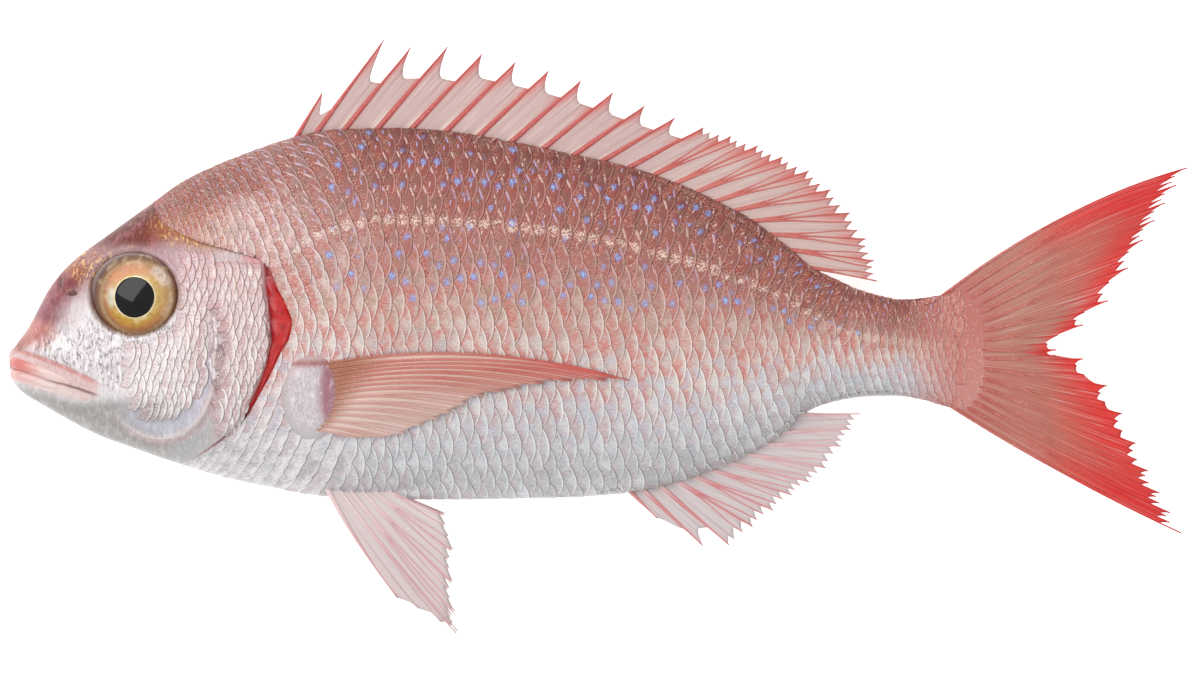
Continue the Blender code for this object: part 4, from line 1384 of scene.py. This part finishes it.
# %% Paint for webs and rays
def fin_colours(fin, ray, along, rays_too):
    gap = ray - np.floor(ray)
    near_ray = np.minimum(gap, 1 - gap)
    if fin == "dorsal":
        soft, rear = ease(ray, 12.0, 14.0), ease(ray, 15.0, 20.0)
        web = layers(
            rgb(202, 174, 170),
            (208, 126, 120, 0.75 * ease(gap, 0.16, 0.03)),
            (240, 226, 210, 0.8 * ridge(gap, 0.86, 0.07) * ease(along, 0.40, 0.12)),
            (206, 116, 106, 0.6 * ease(gap, 0.80, 0.97) * ease(along, 0.15, 0.5)),
            (208, 84, 78, 0.75 * ease(along, 0.52, 0.92) * ease(near_ray, 0.40, 0.05)),
            (206, 180, 172, 0.45 * soft * ease(along, 0.9, 0.6) + 0.3 * rear),
            (212, 104, 94, 0.55 * soft * (1 - 0.7 * rear) * ease(along, 0.62, 0.95)),
        )
        line = layers(rgb(196, 84, 80), (184, 94, 88, ease(along, 0.3, 0.0)), (204, 118, 108, 0.6 * soft))
    elif fin == "anal":
        web = layers(
            rgb(206, 194, 194),
            (212, 150, 152, 0.55 * ease(near_ray, 0.22, 0.0)),
            (236, 222, 216, 0.5 * ridge(gap, 0.80, 0.10) * ease(along, 0.5, 0.1)),
        )
        line = layers(
            rgb(212, 136, 138),
            (238, 222, 220, ease(along, 0.38, 0.0)),
            (224, 196, 198, 0.75 * ease(ray, 4.0, 9.0)),
        )
    elif fin == "tail":
        lobe = np.abs(ray - TAIL_MIDDLE)
        upper = ease(ray, 9.5, 8.5)
        outer = ease(along, 0.46 + 0.17 * upper, 0.92) * (0.8 + 0.2 * ease(lobe, 6.0, 3.0))
        edge = 0.85 * ease(lobe, 5.4, 7.4) * ease(along, 0.25, 0.60) * (0.6 + 0.4 * upper)
        outer = np.clip(outer + edge, 0, 1)
        web = layers(
            rgb(190, 116, 106),
            (184, 124, 108, ease(along, 0.06, 0.32)),
            (186, 106, 92, 0.7 * ease(ray, 9.5, 12.0) * ease(along, 0.1, 0.3)),
            (214, 92, 74, 0.65 * ease(along, 0.40, 0.62) * ease(lobe, 1.5, 4.0)),
            (228, 50, 46, outer),
        )
        line = layers(rgb(182, 92, 82), (190, 110, 98, ease(along, 0.1, 0.3)), (206, 34, 34, outer))
    elif fin == "pelvic":
        web = layers(rgb(210, 196, 196), (214, 164, 166, 0.5 * ease(near_ray, 0.2, 0.0)))
        line = layers(rgb(212, 168, 170), (228, 206, 204, ease(along, 0.6, 0.1)))
    else:
        web = layers(
            rgb(218, 166, 152),
            (218, 196, 188, ease(ray, 5.0, 12.0)),
            (232, 202, 190, 0.6 * ridge(gap, 0.5, 0.22)),
            (166, 106, 66, 0.85 * ease(along, 0.30, 0.10)),
        )
        line = layers(
            rgb(196, 116, 104),
            (206, 160, 150, ease(ray, 4.0, 12.0)),
            (204, 74, 70, 0.7 * ease(along, 0.55, 0.95) * ease(ray, 6.0, 3.0)),
            (156, 92, 58, 0.85 * ease(along, 0.26, 0.08)),
        )
    return line if rays_too else web


def web_finish(name, fine=1.0, strength=0.5):
    """Fine lines run along the web and double in number towards its edge."""
    made = Finish(name)
    ray, along = made.number("ray"), made.number("along")
    flow = made.node("CombineXYZ", None, {0: ray * 3.2, 1: along * 0.7, 2: 0.0})
    streak = made.node("TexNoise", None, {"Vector": flow, "Scale": 3.0, "Detail": 5.0, "Roughness": 0.65})
    mottle = made.noise(420, 3)
    wobble = (mottle - 0.5) * 0.02

    def lines(count):
        place = ray * count + wobble * count
        share = place.math("FRACT", place)
        return ((share - 0.5).size() * 2.0).step(0.62, 0.96)

    combed = lines(3.0 * fine) * 0.6 + lines(6.0 * fine) * along.step(0.25, 0.55) * 0.7
    combed = combed + lines(12.0 * fine) * along.step(0.5, 0.8) * 0.6
    pale = made.mix(made.painted(), rgb(240, 226, 220), streak.step(0.50, 0.70) * 0.35)
    deep = made.mix(made.painted(), rgb(150, 52, 50), 0.6)
    dark = made.mix(pale, deep, combed * streak.step(0.30, 0.62) * strength)
    bump = made.bump(streak * 0.6 + mottle * 0.2 - combed * 0.4, 0.00030, 0.8)
    return made.skin(
        Base_Color=dark, Roughness=0.40 + 0.15 * mottle, IOR=1.38, Coat_Weight=0.25, Coat_Roughness=0.2,
        Normal=bump,
    )


def ray_finish(name):
    made = Finish(name)
    along = made.number("along")
    joints = made.node("TexNoise", None, {"Vector": made.place(), "Scale": 1100.0, "Detail": 3.0})
    pale = made.mix(made.painted(), rgb(244, 206, 200), joints.step(0.50, 0.66) * 0.14 * along.step(0.95, 0.3))
    bump = made.bump(joints, 0.00012, 0.7)
    return made.skin(
        Base_Color=pale, Roughness=0.36, IOR=1.42, Coat_Weight=0.3, Coat_Roughness=0.15, Normal=bump,
    )


web_material, ray_material = web_finish("fin_web_skin", 0.5, 0.30), ray_finish("fin_ray_skin")
tail_material = web_finish("tail_web_skin", 1.0, 0.55)
for fin in FIN_BASES:
    for side in (1, -1) if fin in ("pelvic", "pectoral") else (1,):
        web = make_web(fin, side)
        paint(web, fin_colours(fin, read_numbers(web, "ray"), read_numbers(web, "along"), False))
        finish_piece(web, tail_material if fin in ("tail", "pectoral") else web_material, "fin", "fish")
        bake_map(web)
        rays = make_rays(fin, side)
        paint(rays, fin_colours(fin, read_numbers(rays, "ray"), read_numbers(rays, "along"), True))
        finish_piece(rays, ray_material, "fin", "fish")
        bake_map(rays)

# %% [markdown]
# ## Lips
# The lips are soft rolls round the front of the jaws. Each is one tube from a corner of the
# mouth round the snout to the other corner, thickest in front.

# %% Two lips
def make_lip(name, line_of, start, thick, front_x):
    along = np.linspace(0.0, 1.0, 20)
    x = start * (1 - along) ** 1.1 + front_x * along
    y = line_of(x)
    height = skin_height(x, y) - 0.0007
    left = np.stack([x, y, height], axis=-1)
    right = left[::-1] * (1, 1, -1)
    middle = [np.array([front_x - 0.0003, y[-1], 0.0])]
    route = np.concatenate([left, middle, right])
    fat = thick * (0.45 + 0.55 * ease(np.concatenate([along, [1.0], along[::-1]]), 0.0, 0.6))
    path = place(route[:, 0], route[:, 1], route[:, 2])
    return tubes(name, path[None], fat[None], sides=20)


def lip_finish(name, deep):
    made = Finish(name)
    fold = made.noise(520, 3, stretch=(0.4, 1.8, 1.0), turn=math.radians(-20))
    tone = made.mix(made.painted(), deep, fold.step(0.52, 0.70) * 0.45)
    return made.skin(
        Base_Color=tone, Roughness=0.34 + 0.1 * fold, IOR=1.4, Coat_Weight=0.4, Coat_Roughness=0.12,
        Normal=made.bump(fold, 0.0003, 0.8),
    )


def paint_lip(item, front, rear):
    x = get_points(item)[:, 0] + LENGTH / 2
    paint(item, blend(rear, front, ease(x, 0.0120, 0.0035)))


upper_lip = make_lip("upper_lip", lambda x: mouth_line(x) + 0.0016, 0.0240, 0.0020, 0.0022)
paint_lip(upper_lip, rgb(208, 124, 116), rgb(226, 200, 194))
finish_piece(upper_lip, lip_finish("coral_lip", rgb(204, 130, 124)), "skin", "fish")
lower_lip = make_lip("lower_lip", lambda x: mouth_line(x) - 0.0018, 0.0236, 0.0019, 0.0024)
paint_lip(lower_lip, rgb(220, 176, 172), rgb(222, 202, 198))
finish_piece(lower_lip, lip_finish("pale_lip", rgb(206, 160, 158)), "skin", "fish")
for lip in (upper_lip, lower_lip):
    bake_map(lip)

# %% [markdown]
# ## Eyes
# A fish's eye is a flattened ball with a flat golden iris under a clear bulge. The ball is
# opaque here: its rings are painted from the distance to the pupil, and a clear coat gives the
# wet shine. The pupil is a low black dome with a thin bright rim round it.

# %% Eyeball, pupil and rim
EYE_RADII = (0.0136, 0.0125, 0.0048)
EYE_PROUD = 0.0022
EYE_TILT = math.radians(14)
PUPIL = (0.0015, -0.0008)
PUPIL_RADIUS = 0.0061


def eye_point(x, y, z, side):
    """Turns a point of the eye's own frame to the tilt and place of one eye."""
    centre = place(EYE[0], EYE[1], side * (skin_height(*EYE) + EYE_PROUD - EYE_RADII[2]))
    z = side * z
    tilt = EYE_TILT * side
    cosine, sine = math.cos(tilt), math.sin(tilt)
    return centre + np.stack([x * cosine - z * sine, y, x * sine + z * cosine], axis=-1)


def ball_height(x, y):
    return EYE_RADII[2] * np.sqrt(np.clip(1 - (x / EYE_RADII[0]) ** 2 - (y / EYE_RADII[1]) ** 2, 0, 1))


IRIS_TONES = (
    (0.0, rgb(206, 190, 140)), (0.08, rgb(196, 164, 78)), (0.25, rgb(184, 134, 46)),
    (0.42, rgb(178, 114, 44)), (0.52, rgb(150, 92, 52)), (0.66, rgb(172, 142, 100)),
    (0.80, rgb(128, 84, 52)), (1.0, rgb(84, 48, 38)),
)


def make_eyeball(word, side):
    item = add_ball("eyeball_" + word, 96, 72)
    points = get_points(item)
    turned = np.stack([points[:, 1], points[:, 2], -points[:, 0]], axis=1)
    own = turned * np.array(EYE_RADII)
    set_points(item, eye_point(own[:, 0], own[:, 1], own[:, 2], side))
    if side < 0:
        item.data.flip_normals()
    radius = np.hypot(own[:, 0] - PUPIL[0], own[:, 1] - PUPIL[1])
    share = (radius - PUPIL_RADIUS) / 0.0068
    angle = np.degrees(np.arctan2(own[:, 1] - PUPIL[1], own[:, 0] - PUPIL[0]))
    band = ease(share, 0.02, 0.12) * ease(share, 0.75, 0.45)
    glint = ease(np.abs(angle - 40), 26, 8) * ease(share, 0.25, 0.45) * ease(share, 0.9, 0.65)
    front = ease(np.abs(np.abs(angle) - 180), 32, 8) * ease(share, 0.5, 0.2)
    paint(item, layers(
        tones(np.clip(share, 0, 1), IRIS_TONES),
        (186, 140, 22, 0.7 * band * ease(np.abs(angle + 115), 60, 15) * ease(share, 0.6, 0.2)),
        (196, 116, 44, 0.8 * band * ease(np.abs(angle - 110), 60, 20)),
        (206, 214, 198, 0.8 * band * front),
        (198, 166, 104, 0.5 * band * ease(np.abs(angle), 50, 15)),
        (238, 226, 214, 0.6 * glint),
    ))
    return item


def pupil_bulge(around):
    """The pupil isn't quite round: it bulges up and forward."""
    return 0.03 * np.cos(around - math.radians(135)) ** 3


def make_pupil(word, side):
    bpy.ops.object.select_all(action="DESELECT")
    bpy.ops.mesh.primitive_uv_sphere_add(segments=64, ring_count=32, radius=1.0)
    item = bpy.context.object
    item.name = "pupil_" + word
    points = get_points(item)
    around = np.arctan2(points[:, 1], points[:, 0])
    flat = np.hypot(points[:, 0], points[:, 1]) * PUPIL_RADIUS * (1 + pupil_bulge(around))
    x, y = PUPIL[0] + flat * np.cos(around), PUPIL[1] + flat * np.sin(around)
    z = ball_height(x, y) + np.where(points[:, 2] > 0, 0.0005, 0.0012) * points[:, 2]
    set_points(item, eye_point(x, y, z, side))
    if side < 0:
        item.data.flip_normals()
    return item


def make_rim(word, side):
    bpy.ops.object.select_all(action="DESELECT")
    bpy.ops.mesh.primitive_torus_add(major_segments=96, minor_segments=10, major_radius=1.0, minor_radius=0.1)
    item = bpy.context.object
    item.name = "pupil_rim_" + word
    points = get_points(item)
    turn = np.arctan2(points[:, 1], points[:, 0])
    out = np.hypot(points[:, 0], points[:, 1]) - 1.0
    wide = PUPIL_RADIUS * (1.02 + pupil_bulge(turn)) + out * 0.0026
    x, y = PUPIL[0] + wide * np.cos(turn), PUPIL[1] + wide * np.sin(turn)
    set_points(item, eye_point(x, y, ball_height(x, y) + points[:, 2] * 0.0018, side))
    if side < 0:
        item.data.flip_normals()
    return item


def iris_finish():
    made = Finish("golden_iris")
    own = made.place()
    fibres = made.node("TexNoise", None, {"Vector": own, "Scale": 700.0, "Detail": 5.0, "Roughness": 0.7})
    soft = made.noise(260, 3)
    dark = made.mix(made.painted(), rgb(120, 76, 36), fibres.step(0.50, 0.36) * 0.45)
    light = made.mix(dark, rgb(240, 224, 176), soft.step(0.54, 0.70) * 0.35)
    return made.skin(
        Base_Color=light, Roughness=0.30 + 0.2 * soft, IOR=1.45, Coat_Weight=0.9, Coat_Roughness=0.05,
        Normal=made.bump(fibres, 0.0002, 0.6),
    )


def plain_eye_finish(name, colour, other, roughness, metal, ior=1.45):
    made = Finish(name)
    soft = made.noise(300, 3)
    tone = made.mix(colour, other, soft.step(0.40, 0.65))
    return made.skin(
        Base_Color=tone, Roughness=roughness + 0.06 * soft, IOR=ior, Metallic=metal, Coat_Weight=0.15,
        Coat_Roughness=0.03,
    )


iris = iris_finish()
black = plain_eye_finish("wet_black_pupil", rgb(4, 4, 5), rgb(8, 8, 10), 0.06, 0.0, ior=1.36)
gold = plain_eye_finish("pale_gold_rim", rgb(232, 218, 184), rgb(214, 188, 130), 0.25, 0.3)
for word, side in (("left", 1), ("right", -1)):
    node = "eye_" + word
    ball_piece = finish_piece(make_eyeball(word, side), iris, "eye", node)
    bake_map(ball_piece)
    finish_piece(make_pupil(word, side), black, "eye", node)
    finish_piece(make_rim(word, side), gold, "eye", node)

# %% [markdown]
# ## Light, floor and camera
# The fish is shown on plain white. A wide, even sky gives most of the light and hides the
# shadow, and two large soft boxes add the shine. The camera looks straight down with a long
# lens, so that the fish keeps its true proportions.

# %% Floor, lights and camera
FLOOR_LEVEL = -0.0002
bpy.ops.object.select_all(action="DESELECT")
bpy.ops.mesh.primitive_plane_add(size=6.0, location=(0.0, 0.0, FLOOR_LEVEL))
floor = bpy.context.object
floor.name = "pale_floor"
white = Finish("pale_floor_paint")
floor.data.materials.append(white.skin(
    Base_Color=rgb(252, 252, 252), Roughness=0.9, Specular_IOR_Level=0.0,
    Emission_Color=(1.0, 1.0, 1.0, 1.0), Emission_Strength=0.55,
))


def soft_box(name, spot_at, size, power):
    bpy.ops.object.light_add(type="AREA", location=spot_at)
    lamp = bpy.context.object
    lamp.name = name
    lamp.data.shape = "RECTANGLE"
    lamp.data.size, lamp.data.size_y = size
    lamp.data.energy = power
    direction = np.array(spot_at) / np.linalg.norm(spot_at)
    lamp.rotation_euler = (math.acos(direction[2]), 0.0, math.atan2(direction[1], direction[0]) + TURN)
    return lamp


soft_box("key_box", (-0.80, 0.58, 1.15), (1.5, 1.0), 13.0)
soft_box("fill_box", (0.8, -0.6, 1.4), (1.2, 0.8), 5.0)
sky = bpy.data.worlds.new("even_sky")
sky.use_nodes = True
sky.node_tree.nodes["Background"].inputs["Color"].default_value = (1.0, 1.0, 1.0, 1.0)
sky.node_tree.nodes["Background"].inputs["Strength"].default_value = 0.64
bpy.context.scene.world = sky
bpy.context.scene.view_settings.view_transform = "Standard"

LENS = 280.0
FRAME_WIDTH = 0.35685
bpy.ops.object.camera_add(location=(0.00045, -0.00030, MIDDLE_HEIGHT + FRAME_WIDTH * LENS / 36.0))
camera = bpy.context.object
camera.data.lens = LENS
camera.data.clip_start = 0.01
bpy.context.scene.camera = camera
print("camera at", [round(v, 3) for v in camera.location])
